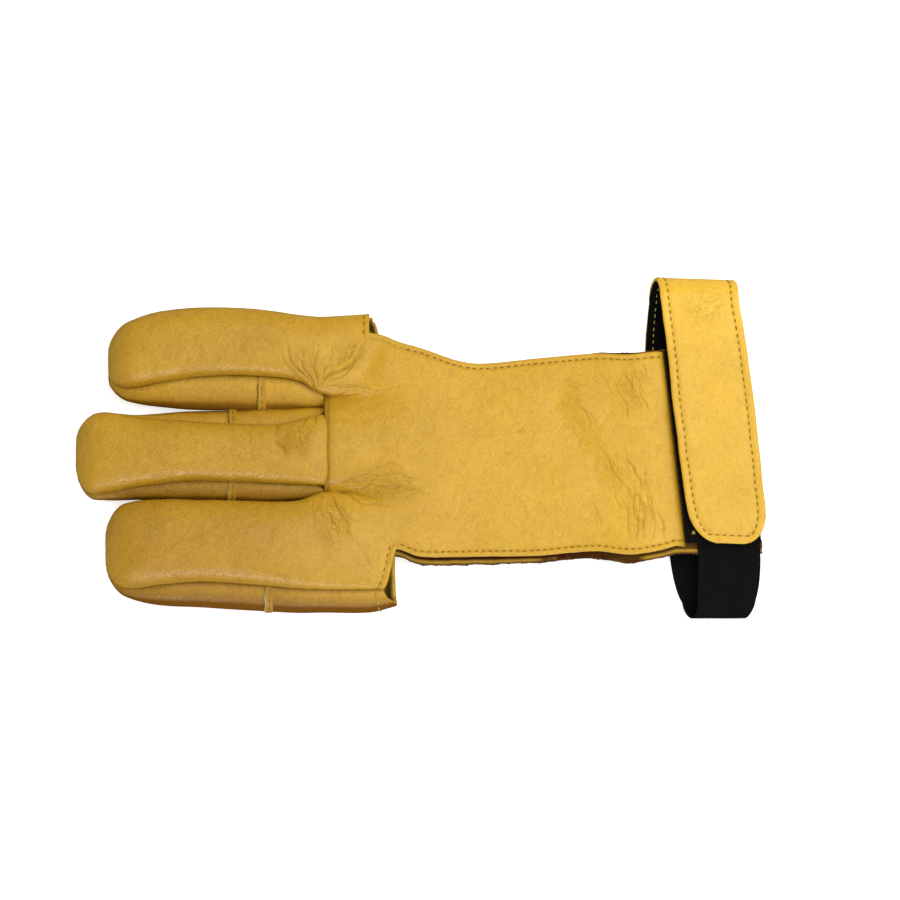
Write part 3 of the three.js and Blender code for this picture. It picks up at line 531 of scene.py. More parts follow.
def band_points(line, lengths, sides, width, shift, tilt=0):
    """Points of a band's outer face: lengths along its line, sides from -1 to 1."""
    middle = line.at(lengths)
    ahead = line.at(lengths + 0.2) - line.at(lengths - 0.2)
    wide = np.array([1, -tilt, 0.0])
    out = np.cross(ahead, wide) * -line.way
    out /= np.linalg.norm(out, axis=-1, keepdims=True)
    half = width(lengths)[:, None, None] / 2
    return (
        middle[:, None, :]
        + wide * np.asarray(sides)[None, :, None] * half
        + out[:, None, :] * shift
    )


# Where the frame's origin is
low_corner, high_corner = (np.array(c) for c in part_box("middle_back"))
TIP_SHARE = TIP_LENGTH / RING.length
CAD_ROWS = join(
    TIP_SHARE * (1 - np.cos(np.linspace(0, math.pi / 2, 5))), np.linspace(TIP_SHARE, 1, 10)
)
cad_x = np.minimum((CAD_ROWS - 1) * MIDDLE.length, -GAP)
cad_high = middle_point(cad_x[:, None], np.linspace(0, 1, LEG + 1)[None, :])[..., 1].max()
SHIFT = np.array([low_corner[0] / MM + MIDDLE.length, high_corner[1] / MM - cad_high, 0])


def to_frame(points):
    return (np.asarray(points, float) + SHIFT) * MM


# Camera's plane, used to say where folds lie
CAMERA_ELEVATION = math.radians(80)


def seen_height(points):
    y, z = points[..., 1], points[..., 2]
    return y * math.sin(CAMERA_ELEVATION) + z * math.cos(CAMERA_ELEVATION)


# Sheets
def grid_normals(points, present=None):
    """Vertex normals of a grid of points, from the cells that exist."""
    if present is None:
        present = np.ones((len(points) - 1, points.shape[1] - 1), bool)
    first = points[1:, 1:] - points[:-1, :-1]
    second = points[:-1, 1:] - points[1:, :-1]
    cell = -np.cross(first, second)
    length = np.linalg.norm(cell, axis=-1, keepdims=True)
    cell = np.where(present[..., None], cell / np.maximum(length, 1e-9) ** 0.5, 0)
    return unit(at_corners(cell))


SAMPLE_STEP = 0.2
REACH = 9.0


def nearest(points, line):
    """Distance from each point to a line of points, and how far along the line that is.
    Points further off than the reach count as very far."""
    along = run_of(line)
    at = np.linspace(0, along[-1], max(2, int(along[-1] / SAMPLE_STEP)))
    fine = read_off(at, along, line)
    tree = KDTree(len(fine))
    for k, point in enumerate(fine.tolist()):
        tree.insert(point, k)
    tree.balance()
    flat = points.reshape(-1, 3)
    away = np.full(len(flat), 1e3)
    place = np.zeros(len(flat))
    near = np.all((flat > fine.min(0) - REACH) & (flat < fine.max(0) + REACH), axis=1)
    rows = np.nonzero(near)[0]
    for i, point in zip(rows.tolist(), flat[rows].tolist()):
        _, k, distance = tree.find(point)
        away[i] = distance
        place[i] = at[k]
    return away.reshape(points.shape[:-1]), place.reshape(points.shape[:-1])


def roll(away, radius):
    """How deep a surface lies that turns in round this radius at an edge."""
    t = np.clip(1 - away / radius, 0, 1)
    return radius * (1 - np.sqrt(np.maximum(0, 1 - t * t)))


def pucker(away, place, depth):
    """Small gathers that a row of stitches draws along a seam."""
    wave = 0.5 + 0.5 * np.cos(2 * math.pi * place / 2.3 + 0.9 * np.sin(place / 3.1))
    return depth * wave * bell(away, 1.7)


GROOVE_WIDTH, GROOVE_DEPTH = 0.5, 0.26


def stitch_groove(away, place, pitch):
    """The groove that a row of stitches draws into leather, and how deep it is at each place."""
    groove = bell(away, GROOVE_WIDTH)
    quilt = 0.5 + 0.5 * np.cos(2 * math.pi * place / pitch)
    return groove, GROOVE_DEPTH * groove * (0.6 + 0.4 * quilt)


def bowed(x0, w0, x1, w1, bow):
    """Points of a slightly wavy arch between two points, and their shares along it."""
    t = np.linspace(0, 1, 18)
    dx, dw = x1 - x0, w1 - w0
    arch = 4 * t * (1 - t) * bow
    wobble = 0.03 * np.sin(t * 9 + x0)
    return np.stack(
        [x0 + dx * t - dw * (arch + wobble), w0 + dw * t + dx * (arch + wobble)], axis=1
    ), t


def crease_lift(points, rows):
    """Lift of leather by creases given in the camera's plane, in mm, and the painted shade in
    them.
    Those that run out from a web start there at nearly full depth."""
    x, w = points[..., 0], seen_height(points)
    bank, cut, dark = np.zeros(x.shape), np.zeros(x.shape), np.zeros(x.shape)
    for x0, w0, x1, w1, bow, depth, width in rows:
        path, share = bowed(x0, w0, x1, w1, bow)
        reach = 4 * width
        (lx, lw), (hx, hw) = path.min(0) - reach, path.max(0) + reach
        near = (x > lx) & (x < hx) & (w > lw) & (w < hw)
        if not near.any():
            continue
        px, pw = x[near], w[near]
        best, side, at = np.full(px.shape, 1e9), np.zeros(px.shape), np.zeros(px.shape)
        for k in range(len(path) - 1):
            run = path[k + 1] - path[k]
            q, ex, ew = beside(px, pw, path[k], run)
            away = np.hypot(ex, ew)
            closer = away < best
            best = np.where(closer, away, best)
            side = np.where(closer, np.sign(run[0] * ew - run[1] * ex), side)
            at = np.where(closer, mix(share[k], share[k + 1], q), at)
        start = 0.28 if abs(x0) < 10 else 0.06
        taper = np.sin(math.pi * np.clip(start + at * (0.98 - start), 0, 1)) ** 0.7
        taper = taper * (0.8 + 0.35 * noise(px, pw, 4.0, 7))
        banks = bell(best - 1.15 * width, 0.75 * width) * (1 + 0.5 * side)
        for out, here in (
            (bank, depth * taper * 0.34 * min(1, depth) * banks),
            (cut, depth * taper * 0.62 * bell(best, 0.30 * width)),
            (dark, min(1, depth * 1.5) * taper * bell(best, max(0.26, 0.26 * width))),
        ):
            out[near] = np.maximum(out[near], here)
    return bank - cut, dark


class Mesh:
    """Collects corners and faces, then makes one object."""

    def __init__(self):
        self.points, self.faces, self.looks = [], [], []
        self.values = {"tone": [], "dark": []}
        self.uvs, self.folds = [], []
        self.count = 0

    def add(self, points, tone=0.0, dark=0.0, uv=None, folds=None):
        points = np.asarray(points, float).reshape(-1, 3)
        start = self.count
        self.points.append(points)
        for name, value in (("tone", tone), ("dark", dark)):
            self.values[name].append(np.broadcast_to(value, len(points)).astype(float))
        self.uvs.append(np.zeros((len(points), 2)) if uv is None else np.asarray(uv, float))
        self.folds.append(np.zeros((len(points), 3)) if folds is None else folds)
        self.count += len(points)
        return start

    def face(self, quads, look=0):
        quads = np.asarray(quads, int).reshape(-1, np.asarray(quads).shape[-1])
        self.faces.append(quads)
        self.looks.append(np.full(len(quads), look))

    def rod(self, rings):
        """Adds a closed round rod, given as rings of points."""
        count, around = rings.shape[:2]
        start = self.add(rings)
        k = start + np.arange(count - 1)[:, None] * around + np.arange(around)
        after = start + np.arange(count - 1)[:, None] * around + (np.arange(around) + 1) % around
        self.face(np.stack([k, after, after + around, k + around], axis=-1).reshape(-1, 4))
        last = start + (count - 1) * around
        self.face([list(range(start + around - 1, start - 1, -1))])
        self.face([list(range(last, last + around))])

    def make(self, name, materials):
        mesh = bpy.data.meshes.new(name)
        points = to_frame(np.concatenate(self.points))
        faces = [f for group in self.faces for f in group.tolist()]
        mesh.from_pydata(points.tolist(), [], faces)
        for material in materials:
            mesh.materials.append(material)
        mesh.polygons.foreach_set("material_index", np.concatenate(self.looks).astype(np.int32))
        mesh.polygons.foreach_set("use_smooth", np.ones(len(faces), bool))
        for key, value in self.values.items():
            layer = mesh.attributes.new(key, "FLOAT", "POINT")
            layer.data.foreach_set("value", np.concatenate(value).astype(np.float32))
        layer = mesh.attributes.new("fold", "FLOAT_VECTOR", "POINT")
        layer.data.foreach_set("vector", np.concatenate(self.folds).astype(np.float32).ravel())
        corner = np.zeros(len(mesh.loops), np.int32)
        mesh.loops.foreach_get("vertex_index", corner)
        layer = mesh.uv_layers.new(name="flat")
        uvs = np.concatenate(self.uvs)[corner]
        layer.data.foreach_set("uv", uvs.astype(np.float32).ravel())
        mesh.update()
        mesh.validate()
        obj = bpy.data.objects.new(name, mesh)
        bpy.context.scene.collection.objects.link(obj)
        return obj


BLUR_ROUNDS = 6


def blurred(directions, present):
    """Directions averaged with their neighbours, so that corners of a sheet don't spike."""
    weight = (at_corners(present) > 0)[..., None] * 1.0
    out = directions * weight
    for _ in range(BLUR_ROUNDS):
        total, count = out.copy(), weight.copy()
        for axis in (0, 1):
            head = (slice(None),) * axis + (slice(1, None),)
            tail = (slice(None),) * axis + (slice(None, -1),)
            for here, there in ((head, tail), (tail, head)):
                total[here] += out[there]
                count[here] += weight[there]
        out = weight * total / np.maximum(count, 1)
    return unit(out)


SIDES = [(-1, 0), (0, 1), (1, 0), (0, -1)]


def side_path(i, j, size, side):
    """Grid points along one side of a block, from its first corner towards its last."""
    k = range(size + 1)
    if side == 0:
        return [(i, j + n) for n in k]
    if side == 1:
        return [(i + n, j + size) for n in k]
    if side == 2:
        return [(i + size, j + size - n) for n in k]
    return [(i + size - n, j) for n in k]


RIM_STEPS, RIM_BULGE = 4, 0.16


def sheet_mesh(points, wall, present=None, back=1, tone=0.0, dark=0.0, fuzz=0.0, coarse=4):
    """A grid of points as a closed sheet. Looks: 0 its face, 1 its other side, 2 its rim.
    The other side has only every coarse-th point, but all of them along its border."""
    n, m = points.shape[:2]
    if present is None:
        present = np.ones((n - 1, m - 1), bool)
    if (n - 1) % coarse or (m - 1) % coarse:
        coarse = 1
    blocks = present[::coarse, ::coarse]
    assert (present == np.kron(blocks, np.ones((coarse, coarse), bool))).all()
    inward = -blurred(grid_normals(points, present), present) * back
    inner = points + inward * wall
    mesh = Mesh()
    runs = []
    for axis in (0, 1):
        steps = np.linalg.norm(np.diff(points, axis=axis), axis=-1).mean(1 - axis)
        runs.append(np.concatenate([[0], np.cumsum(steps)]))
    uv = np.stack(np.meshgrid(*runs, indexing="ij"), axis=-1).reshape(-1, 2) * MM
    tone = np.broadcast_to(tone, (n, m)).ravel()
    dark = np.broadcast_to(np.clip(dark, 0, 1), (n, m)).ravel()
    keep = (at_corners(present) > 0).ravel()
    number = (np.cumsum(keep) - 1).reshape(n, m)
    flat = points.reshape(-1, 3)[keep]
    mesh.add(flat, tone[keep], dark[keep], uv[keep], fine_folds(flat))
    i, j = np.nonzero(present)
    quads = np.stack(
        [number[i, j], number[i, j + 1], number[i + 1, j + 1], number[i + 1, j]], axis=1
    )
    mesh.face(quads if back > 0 else quads[:, ::-1], 0)
    # Other side, as blocks whose free sides carry every point
    needed, polygons, border = {}, [], []
    rows, columns = blocks.shape
    for bi, bj in zip(*np.nonzero(blocks)):
        polygon = []
        for side, (di, dj) in enumerate(SIDES):
            path = side_path(bi * coarse, bj * coarse, coarse, side)
            oi, oj = bi + di, bj + dj
            free = not (0 <= oi < rows and 0 <= oj < columns and blocks[oi, oj])
            polygon += path[:-1] if free else path[:1]
            if free:
                border += list(zip(path[:-1], path[1:]))
        for corner in polygon:
            needed.setdefault(corner, len(needed))
        polygons.append([needed[corner] for corner in polygon])
    places = np.array(list(needed))
    flat_index = places[:, 0] * m + places[:, 1]
    start = mesh.add(inner.reshape(-1, 3)[flat_index], tone[flat_index], 0, uv[flat_index])
    for polygon in polygons:
        face = [start + k for k in polygon]
        mesh.face([face[::-1] if back > 0 else face], 1)
    # Rim: rounded and slightly rough
    away = {}
    for p, q in border:
        a, b = points[p], points[q]
        way = unit(np.cross(b - a, inward[p]) * -back)
        for end in (p, q):
            away[end] = away.get(end, 0) + way
    loops = {}
    for end, way in away.items():
        way = unit(way, 1e-6)
        p, q = points[end], inner[end]
        rough = fuzz * (noise(p[0], p[1], 0.7, 3) + noise(p[0], p[1], 2.4, 4))
        loop = [number[end]]
        look = tone[end[0] * m + end[1]]
        for k in range(1, RIM_STEPS):
            s = k / RIM_STEPS
            out = RIM_BULGE * 4 * s * (1 - s) + rough * (0.4 + s)
            loop.append(mesh.add([mix(p, q, s) + way * out], look, 0.0))
        loop.append(start + needed[end])
        loops[end] = loop
    quads = [
        (loops[p][k], loops[p][k + 1], loops[q][k + 1], loops[q][k])
        for p, q in border
        for k in range(RIM_STEPS)
    ]
    quads = np.array(quads)
    mesh.face(quads if back > 0 else quads[:, ::-1], 2)
    return mesh


# Materials
class Look:
    """One material, and short ways to add the nodes that make its look."""

    def __init__(self, name):
        self.made = bpy.data.materials.new(name)
        self.made.use_nodes = True
        self.nodes, self.links = self.made.node_tree.nodes, self.made.node_tree.links
        self.shader = self.nodes["Principled BSDF"]

    def feed(self, socket, value):
        if isinstance(value, bpy.types.NodeSocket):
            self.links.new(value, socket)
        else:
            socket.default_value = value

    def node(self, kind, sockets=(), **settings):
        node = self.nodes.new("ShaderNode" + kind)
        for key, value in settings.items():
            setattr(node, key, value)
        for key, value in dict(sockets).items():
            self.feed(node.inputs[key], value)
        return node

    def coords(self):
        return self.node("TexCoord").outputs["Object"]

    def attribute(self, name, output="Fac"):
        return self.node("Attribute", attribute_name=name).outputs[output]

    def stretched(self, coords, scale, turn):
        sockets = {"Vector": coords, "Scale": scale, "Rotation": (0, 0, turn)}
        return self.node("Mapping", sockets).outputs["Vector"]

    def noise(self, coords, scale, detail=3, rough=0.55, distort=0.0):
        return self.node("TexNoise", {
            "Vector": coords, "Scale": scale, "Detail": detail, "Roughness": rough,
            "Distortion": distort,
        }).outputs[0]

    def math(self, operation, *values, clamp=False):
        sockets = dict(enumerate(values))
        return self.node("Math", sockets, operation=operation, use_clamp=clamp).outputs[0]

    def total(self, start, *parts):
        """The start and each part times its share, added up."""
        for part, share in parts:
            start = self.math("ADD", start, self.math("MULTIPLY", part, share))
        return start

    def ramp(self, factor, *stops):
        node = self.node("ValToRGB", {0: factor})
        elements = node.color_ramp.elements
        while len(elements) < len(stops):
            elements.new(0.5)
        for element, (place, colour) in zip(elements, stops):
            element.position = place
            element.color = (*colour, 1)
        return node.outputs[0]

    def mix(self, factor, first, second, blend="MIX"):
        node = self.node("Mix", data_type="RGBA", blend_type=blend)
        for k, value in ((0, factor), (6, first), (7, second)):
            self.feed(node.inputs[k], value)
        return node.outputs[2]

    def bump(self, height, strength, distance):
        sockets = {"Height": height, "Strength": strength, "Distance": distance}
        return self.node("Bump", sockets)

    def finish(self, colour, bump, roughness, specular):
        for key, value in (
            ("Base Color", colour), ("Normal", bump.outputs["Normal"]),
            ("Roughness", roughness), ("Specular IOR Level", specular),
        ):
            self.feed(self.shader.inputs[key], value)
        return self.made


def leather(name, dark, mid, light, pale, shade_colour, gloss=0.5):
    look = Look(name)
    coords = look.coords()
    tone, painted_shade = look.attribute("tone"), look.attribute("dark")
    mottle = look.noise(coords, 300, 4, 0.6)
    speck = look.noise(coords, 1500, 3, 0.6)
    shade = look.math("MULTIPLY_ADD", look.noise(coords, 38), 0.14, 0.09)
    shade = look.math("ADD", look.total(shade, (mottle, 0.16), (speck, 0.34)), tone)
    # The pale stop is reached mostly where a painted highlight raises the tone, as at the strap's
    # top
    colour = look.ramp(shade, (0.0, dark), (0.41, mid), (0.82, light), (1.0, pale))
    # Grain: fine drawn wrinkles, pores between them and a soft pebble
    wrinkles = look.noise(look.stretched(coords, (1.0, 0.6, 1.0), 0.5), 680, 4, 0.6, 0.8)
    drawn = look.noise(look.stretched(coords, (0.5, 1.25, 1.0), -0.35), 260, 3, 0.6, 0.9)
    pores = look.node(
        "TexVoronoi", {"Vector": coords, "Scale": 1250, "Smoothness": 0.4}, feature="SMOOTH_F1"
    )
    height = look.math("MULTIPLY", pores.outputs["Distance"], -0.6)
    height = look.total(height, (wrinkles, 0.9), (drawn, 0.7), (speck, 0.35))
    grain = look.bump(height, 0.5, 0.00028)
    # Gathered wrinkles, along the way that each place's folds run
    fold = look.attribute("fold", "Vector")
    depth = look.node("SeparateXYZ", {0: fold}).outputs["Z"]
    ridge = look.math("SUBTRACT", look.noise(fold, 1.0, 2, 0.5, 0.5), 0.5)
    ridge = look.math("MULTIPLY", look.math("ABSOLUTE", ridge), 17.0, clamp=True)
    gathers = look.bump(look.math("MULTIPLY", ridge, depth), 0.8, 0.00016)
    look.feed(gathers.inputs["Normal"], grain.outputs["Normal"])
    # Painted shade in the valleys of the gathered wrinkles
    lines = look.math("MULTIPLY", look.math("SUBTRACT", 1.0, ridge), depth)
    lines = look.math("MULTIPLY", lines, 0.38)
    pits = look.ramp(wrinkles, (0.30, (0.86, 0.80, 0.70)), (0.5, (1, 1, 1)))
    colour = look.mix(0.7, colour, pits, "MULTIPLY")
    # Painted shade: the dark attribute (seams, creases, stitch grooves, down-turned parts) and the
    # wrinkle valleys pull the colour towards the shade colour
    for share in (lines, painted_shade):
        colour = look.mix(share, colour, (*shade_colour, 1))
    rough = look.math("MULTIPLY_ADD", mottle, 0.22, 0.22)
    return look.finish(
        colour, gathers, rough, look.math("MULTIPLY_ADD", painted_shade, -0.9 * gloss, gloss)
    )


def suede(name, dark, light, strength=0.9):
    look = Look(name)
    coords = look.coords()
    nap = look.noise(coords, 2400, 3, 0.7)
    cloud = look.math("ADD", look.noise(coords, 300, 4, 0.65), nap)
    colour = look.ramp(look.math("MULTIPLY", cloud, 0.5), (0.3, dark), (0.7, light))
    look.shader.inputs["Sheen Weight"].default_value = 0.05
    return look.finish(colour, look.bump(nap, strength, 0.0004), 0.95, 0.15)


def thread(name, colour):
    look = Look(name)
    twist = look.noise(look.coords(), 2600, 2, 0.5)
    shaded = look.ramp(twist, (0.35, tuple(c * 0.55 for c in colour)), (0.65, colour))
    return look.finish(shaded, look.bump(twist, 0.6, 0.0002), 0.85, 0.15)


def tape_look(name, pile):
    look = Look(name)
    coords = look.coords()
    fluff = look.noise(coords, pile, 4, 0.75)
    colour = look.ramp(fluff, (0.35, (0.002, 0.002, 0.0025)), (0.7, (0.010, 0.010, 0.012)))
    colour = look.mix(look.noise(coords, 260, 3, 0.6), colour, (0.004, 0.004, 0.005, 1))
    return look.finish(colour, look.bump(fluff, 1.0, 0.0006), 0.95, 0.1)


def woven(name):
    look = Look(name)
    flat = look.node("UVMap", uv_map="flat").outputs["UV"]
    ribs, weft = (
        look.node("TexWave", {"Vector": flat, **sockets}, bands_direction=way).outputs["Fac"]
        for way, sockets in (
            ("Y", {"Scale": 330, "Distortion": 0.6, "Detail": 2, "Detail Scale": 3}),
            ("X", {"Scale": 620, "Distortion": 1.0, "Detail": 1}),
        )
    )
    height = look.total(look.math("MULTIPLY", ribs, 0.7), (weft, 0.3))
    shade = look.math("MULTIPLY", height, look.noise(look.coords(), 700, 4, 0.7))
    colour = look.ramp(shade, (0.1, (0.0035, 0.0035, 0.004)), (0.7, (0.0068, 0.0068, 0.008)))
    return look.finish(colour, look.bump(height, 0.8, 0.0003), 0.85, 0.12)


GOLD = leather(
    "golden_leather",
    dark=(0.345, 0.172, 0.011), mid=(0.575, 0.322, 0.017), light=(0.80, 0.480, 0.038),
    pale=(0.88, 0.59, 0.12), shade_colour=(0.16, 0.060, 0.003),
)
# Its shade colour paints the dark line of shade under the back leather's edge
UNDER = leather(
    "under_leather_gold",
    dark=(0.26, 0.145, 0.010), mid=(0.46, 0.262, 0.017), light=(0.72, 0.425, 0.035),
    pale=(0.8, 0.5, 0.06), shade_colour=(0.036, 0.009, 0.003), gloss=0.2,
)
SUEDE = suede("suede_side", (0.26, 0.165, 0.012), (0.52, 0.34, 0.035))
RAW = suede("raw_edge", (0.34, 0.195, 0.02), (0.58, 0.345, 0.05))
BROWN_RAW = suede("brown_raw_edge", (0.040, 0.012, 0.004), (0.17, 0.075, 0.014))
DULL = suede("dull_edge", (0.22, 0.135, 0.014), (0.40, 0.25, 0.03))
CREAM = suede("cream_edge", (0.30, 0.22, 0.08), (0.50, 0.41, 0.20), 0.6)
RUST = suede("rust_suede", (0.03, 0.011, 0.005), (0.10, 0.036, 0.012))
OLIVE = thread("olive_thread", (0.36, 0.195, 0.013))
LIME = thread("yellow_green_thread", (0.58, 0.50, 0.05))
HOOK = tape_look("hook_tape_black", 1500)
LOOP = tape_look("loop_tape_black", 1100)
WOVEN = woven("elastic_black")


STITCH_PITCH = 2.25


def placed(obj, slot, *nodes):
    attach(obj, "root")
    if nodes:
        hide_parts(*nodes)


def panel(name, points, looks, slot, *nodes, wall=LEATHER, **how):
    placed(sheet_mesh(points, wall, **how).make(name, looks), slot, *nodes)


def stitches(name, lines, look, pitch=STITCH_PITCH, length=1.3, radius=0.22):
    """Short threads along lines on a surface. Each line is its points and their normals."""
    mesh = Mesh()
    rings = np.array([-1.0, -0.8, -0.4, 0.0, 0.4, 0.8, 1.0])[:, None]
    girth = np.array([0.25, 0.72, 0.98, 1.0, 0.98, 0.72, 0.25])[:, None, None]
    turn = np.arange(7)[:, None] * 2 * math.pi / 7
    draw = np.random.RandomState(5)
    for points, normals in lines:
        along = run_of(points)
        count = int(along[-1] / pitch)
        for place in (np.arange(count) + 0.5) * along[-1] / max(count, 1):
            place += draw.uniform(-0.12, 0.12)
            half = length / 2 * draw.uniform(0.88, 1.06)
            ahead = read_off(place + half, along, points) - read_off(place - half, along, points)
            ahead = unit(ahead, 1e-6)
            up = read_off(place, along, normals)
            up = unit(up - ahead * (up @ ahead), 1e-6)
            side = np.cross(ahead, up)
            ahead = ahead + side * draw.uniform(-0.10, 0.10)
            centres = read_off(place, along, points) + ahead * rings * half
            centres = centres + up * (radius * 0.55 * (1 - rings**2))
            ring = (np.cos(turn) * side + np.sin(turn) * up) * radius
            mesh.rod(centres[:, None, :] + ring * girth)
    placed(mesh.make(name, [look]), "leather")


# Creases: where they run in the camera's plane, how far they bow, depth and width
RING_CREASES = [
    (-3.3, 23.8, -13.5, 42.0, 0.08, 0.6, 0.9),
    (-3.0, 24.3, -7.6, 37.3, 0.08, 0.55, 0.8),
    (-2.4, 24.3, -2.0, 39.0, 0.04, 0.7, 0.8),
    (-1.8, 24.6, 2.7, 39.0, -0.06, 0.4, 0.8),
    (-1.0, 24.6, 6.3, 35.7, -0.05, 0.45, 0.8),
    (0.4, 26.6, 15.3, 40.9, -0.10, 1.0, 1.3),
    (2.0, 25.8, 14.3, 38.0, -0.10, 0.6, 0.8),
    (-20.7, 41.0, -16.0, 35.7, 0.1, 0.3, 1.2),
    (-28.0, 38.0, -22.7, 32.3, -0.1, 0.2, 1.2),
    (-9.3, 29.0, -14.7, 35.7, 0.1, 0.3, 0.8),
]
MIDDLE_CREASES = [
    (-7.0, 17.7, -16.7, 7.0, -0.16, 1.1, 1.3),
    (-16.7, 7.0, -12.7, 0.7, 0.15, 0.8, 1.1),
    (-2.3, 16.0, -7.0, 6.0, 0.1, 0.6, 0.8),
    (-4.3, 16.7, -10.3, 9.3, 0.12, 0.5, 0.8),
    (-8.0, 11.7, -6.3, 3.3, -0.1, 0.4, 0.8),
    (-2.0, 10.3, -2.7, -6.7, 0.03, 0.3, 0.9),
    (-26.0, 10.3, -24.3, 1.0, 0.1, 0.25, 1.2),
    (-12.7, 13.0, -16.0, 11.0, 0, 0.4, 0.8),
]
HAND_CREASES = [
    (0.3, 23.7, 16.0, 23.0, 0.05, 0.5, 0.9),
    (7.0, 24.3, 32.0, 24.7, -0.04, 0.35, 0.8),
    (4.7, 21.7, 22.7, 21.0, 0.05, 0.25, 0.9),
    (1.3, -9.3, 19.0, -5.3, 0.06, 0.5, 0.8),
    (16.0, -6.0, 32.7, -7.0, 0.08, 0.4, 0.7),
    (2.0, -10.0, 17.3, -9.7, -0.05, 0.5, 0.8),
    (14.0, -9.3, 33.3, -11.0, 0.05, 0.4, 0.7),
    (3.3, -11.0, 12.0, -13.7, 0.08, 0.5, 0.8),
    (9.3, -12.7, 28.0, -16.3, -0.05, 0.4, 0.8),
    (16.0, -3.0, 28.7, -3.0, 0.1, 0.3, 0.7),
    (6.0, -8.0, 14.5, -8.4, 0.06, 0.35, 0.7),
    (10.0, -11.0, 19.0, -12.3, -0.08, 0.35, 0.7),
    (20.0, -10.0, 27.0, -10.2, 0.08, 0.3, 0.7),
    (9.0, -5.5, 17.0, -3.8, 0.06, 0.3, 0.7),
    (24.0, -12.5, 34.0, -15.5, 0.06, 0.3, 0.7),
    (20.3, -8.0, 37.3, -13.7, 0.05, 0.3, 0.8),
    (1.7, -11.3, 8.3, -27.0, 0.1, 0.6, 1.1),
    (5.3, -14.7, 12.3, -21.0, -0.12, 0.45, 0.9),
    (88.0, 10.3, 94.0, 2.3, 0.08, 0.35, 0.9),
    (93.3, 3.0, 100.0, -8.3, -0.08, 0.45, 0.9),
    (96.0, -3.7, 102.3, -13.7, 0.05, 0.4, 0.8),
    (83.7, 21.0, 88.7, 9.7, 0.06, 0.3, 0.8),
    (86.0, 18.0, 92.5, 7.0, 0.05, 0.25, 0.7),
    (91.0, 8.0, 95.0, -2.5, -0.06, 0.3, 0.7),
    (95.5, -8.5, 98.0, -19.0, 0.06, 0.25, 0.7),
    (92.0, 30.0, 97.0, 21.0, -0.05, 0.25, 0.7),
    (97.0, 25.0, 101.5, 12.5, 0.06, 0.3, 0.7),
    (99.5, 5.0, 103.5, -3.5, -0.08, 0.25, 0.7),
    (110.5, -6.0, 111.5, -15.0, 0.05, 0.25, 0.7),
    (78.7, 13.0, 87.0, 2.3, 0.06, 0.2, 0.9),
    (99.3, 29.3, 103.3, 18.0, 0.08, 0.4, 0.7),
    (102.0, 27.0, 106.3, 16.7, -0.05, 0.4, 0.7),
    (104.0, 22.3, 108.7, 15.0, 0.06, 0.35, 0.7),
    (105.7, 32.3, 108.0, 25.0, 0.05, 0.3, 0.7),
    (99.6, -13.7, 101.3, -27.0, 0.05, 0.5, 0.8),
    (102.5, -11.3, 103.7, -27.3, 0.04, 0.55, 0.8),
    (105.3, -12.7, 106.0, -26.7, 0.05, 0.5, 0.8),
    (108.3, -11.3, 109.3, -27.0, 0.04, 0.45, 0.7),
    (111.0, -17.7, 113.0, -27.3, 0.06, 0.5, 0.7),
    (101.7, -1.7, 105.3, -10.3, 0.1, 0.5, 0.8),
    (107.0, -3.7, 108.7, -11.0, -0.1, 0.35, 0.7),
    (65.3, -11.7, 67.0, -23.0, 0.05, 0.25, 1.0),
    (70.7, 3.0, 73.0, -9.7, -0.05, 0.2, 1.0),
    (48.0, 25.7, 52.7, 16.7, 0.06, 0.25, 0.9),
    (41.0, 21.3, 46.0, 11.7, -0.06, 0.2, 0.9),
    (88.7, -13.7, 92.0, -23.0, 0.08, 0.25, 0.9),
]
INDEX_CREASES = [
    (-0.7, -11.7, -4.7, -20.3, 0.1, 0.45, 0.9),
    (-3.0, -13.7, -2.0, -23.7, -0.08, 0.35, 0.9),
    (2.3, -19.3, 5.0, -26.0, 0.1, 0.4, 1.0),
    (-16.7, -22.3, -19.0, -28.0, 0.15, 0.35, 1.5),
    (7.3, -23.7, 12.0, -31.0, 0.12, 0.4, 1.1),
    (12.7, -31.0, 16.3, -37.3, 0.1, 0.45, 1.0),
    (-24.7, -20.3, -27.3, -27.0, 0.1, 0.2, 1.3),
]


def leather_tone_and_light(points):
    """Colour shift: darker at the fingers and paler towards the wrist, partly painted fall-off of
    light from the right and partly the leather's own tone; a little darker on the middle and index
    fingers, more on the index; random tone on top.
    """
    x, y = points[..., 0], points[..., 1]
    along = np.interp(x, [-85, -20, 30, 90, 125], [-0.15, -0.14, -0.03, 0.03, 0.14])
    along = along - 0.04 * ease((16 - y) / 10) * ease((10 - x) / 20) * ease((x + 80) / 20)
    along = along - 0.07 * ease((-12 - y) / 12) * ease((25 - x) / 25) * ease((x + 80) / 20)
    return along + 0.05 * noise(x, y, 22, 9) + 0.03 * noise(x, y, 7, 10)


def soft_relief(points):
    """Slow dents and small uneven places of used leather."""
    x, w = points[..., 0], seen_height(points)
    slow = 0.26 * noise(x, w, 19, 1) + 0.09 * noise(x, w, 7.5, 2)
    small = 0.030 * noise(x + 0.5 * w, w - 0.3 * x, 2.6, 5) + 0.012 * noise(x, w, 1.3, 6)
    return slow + small


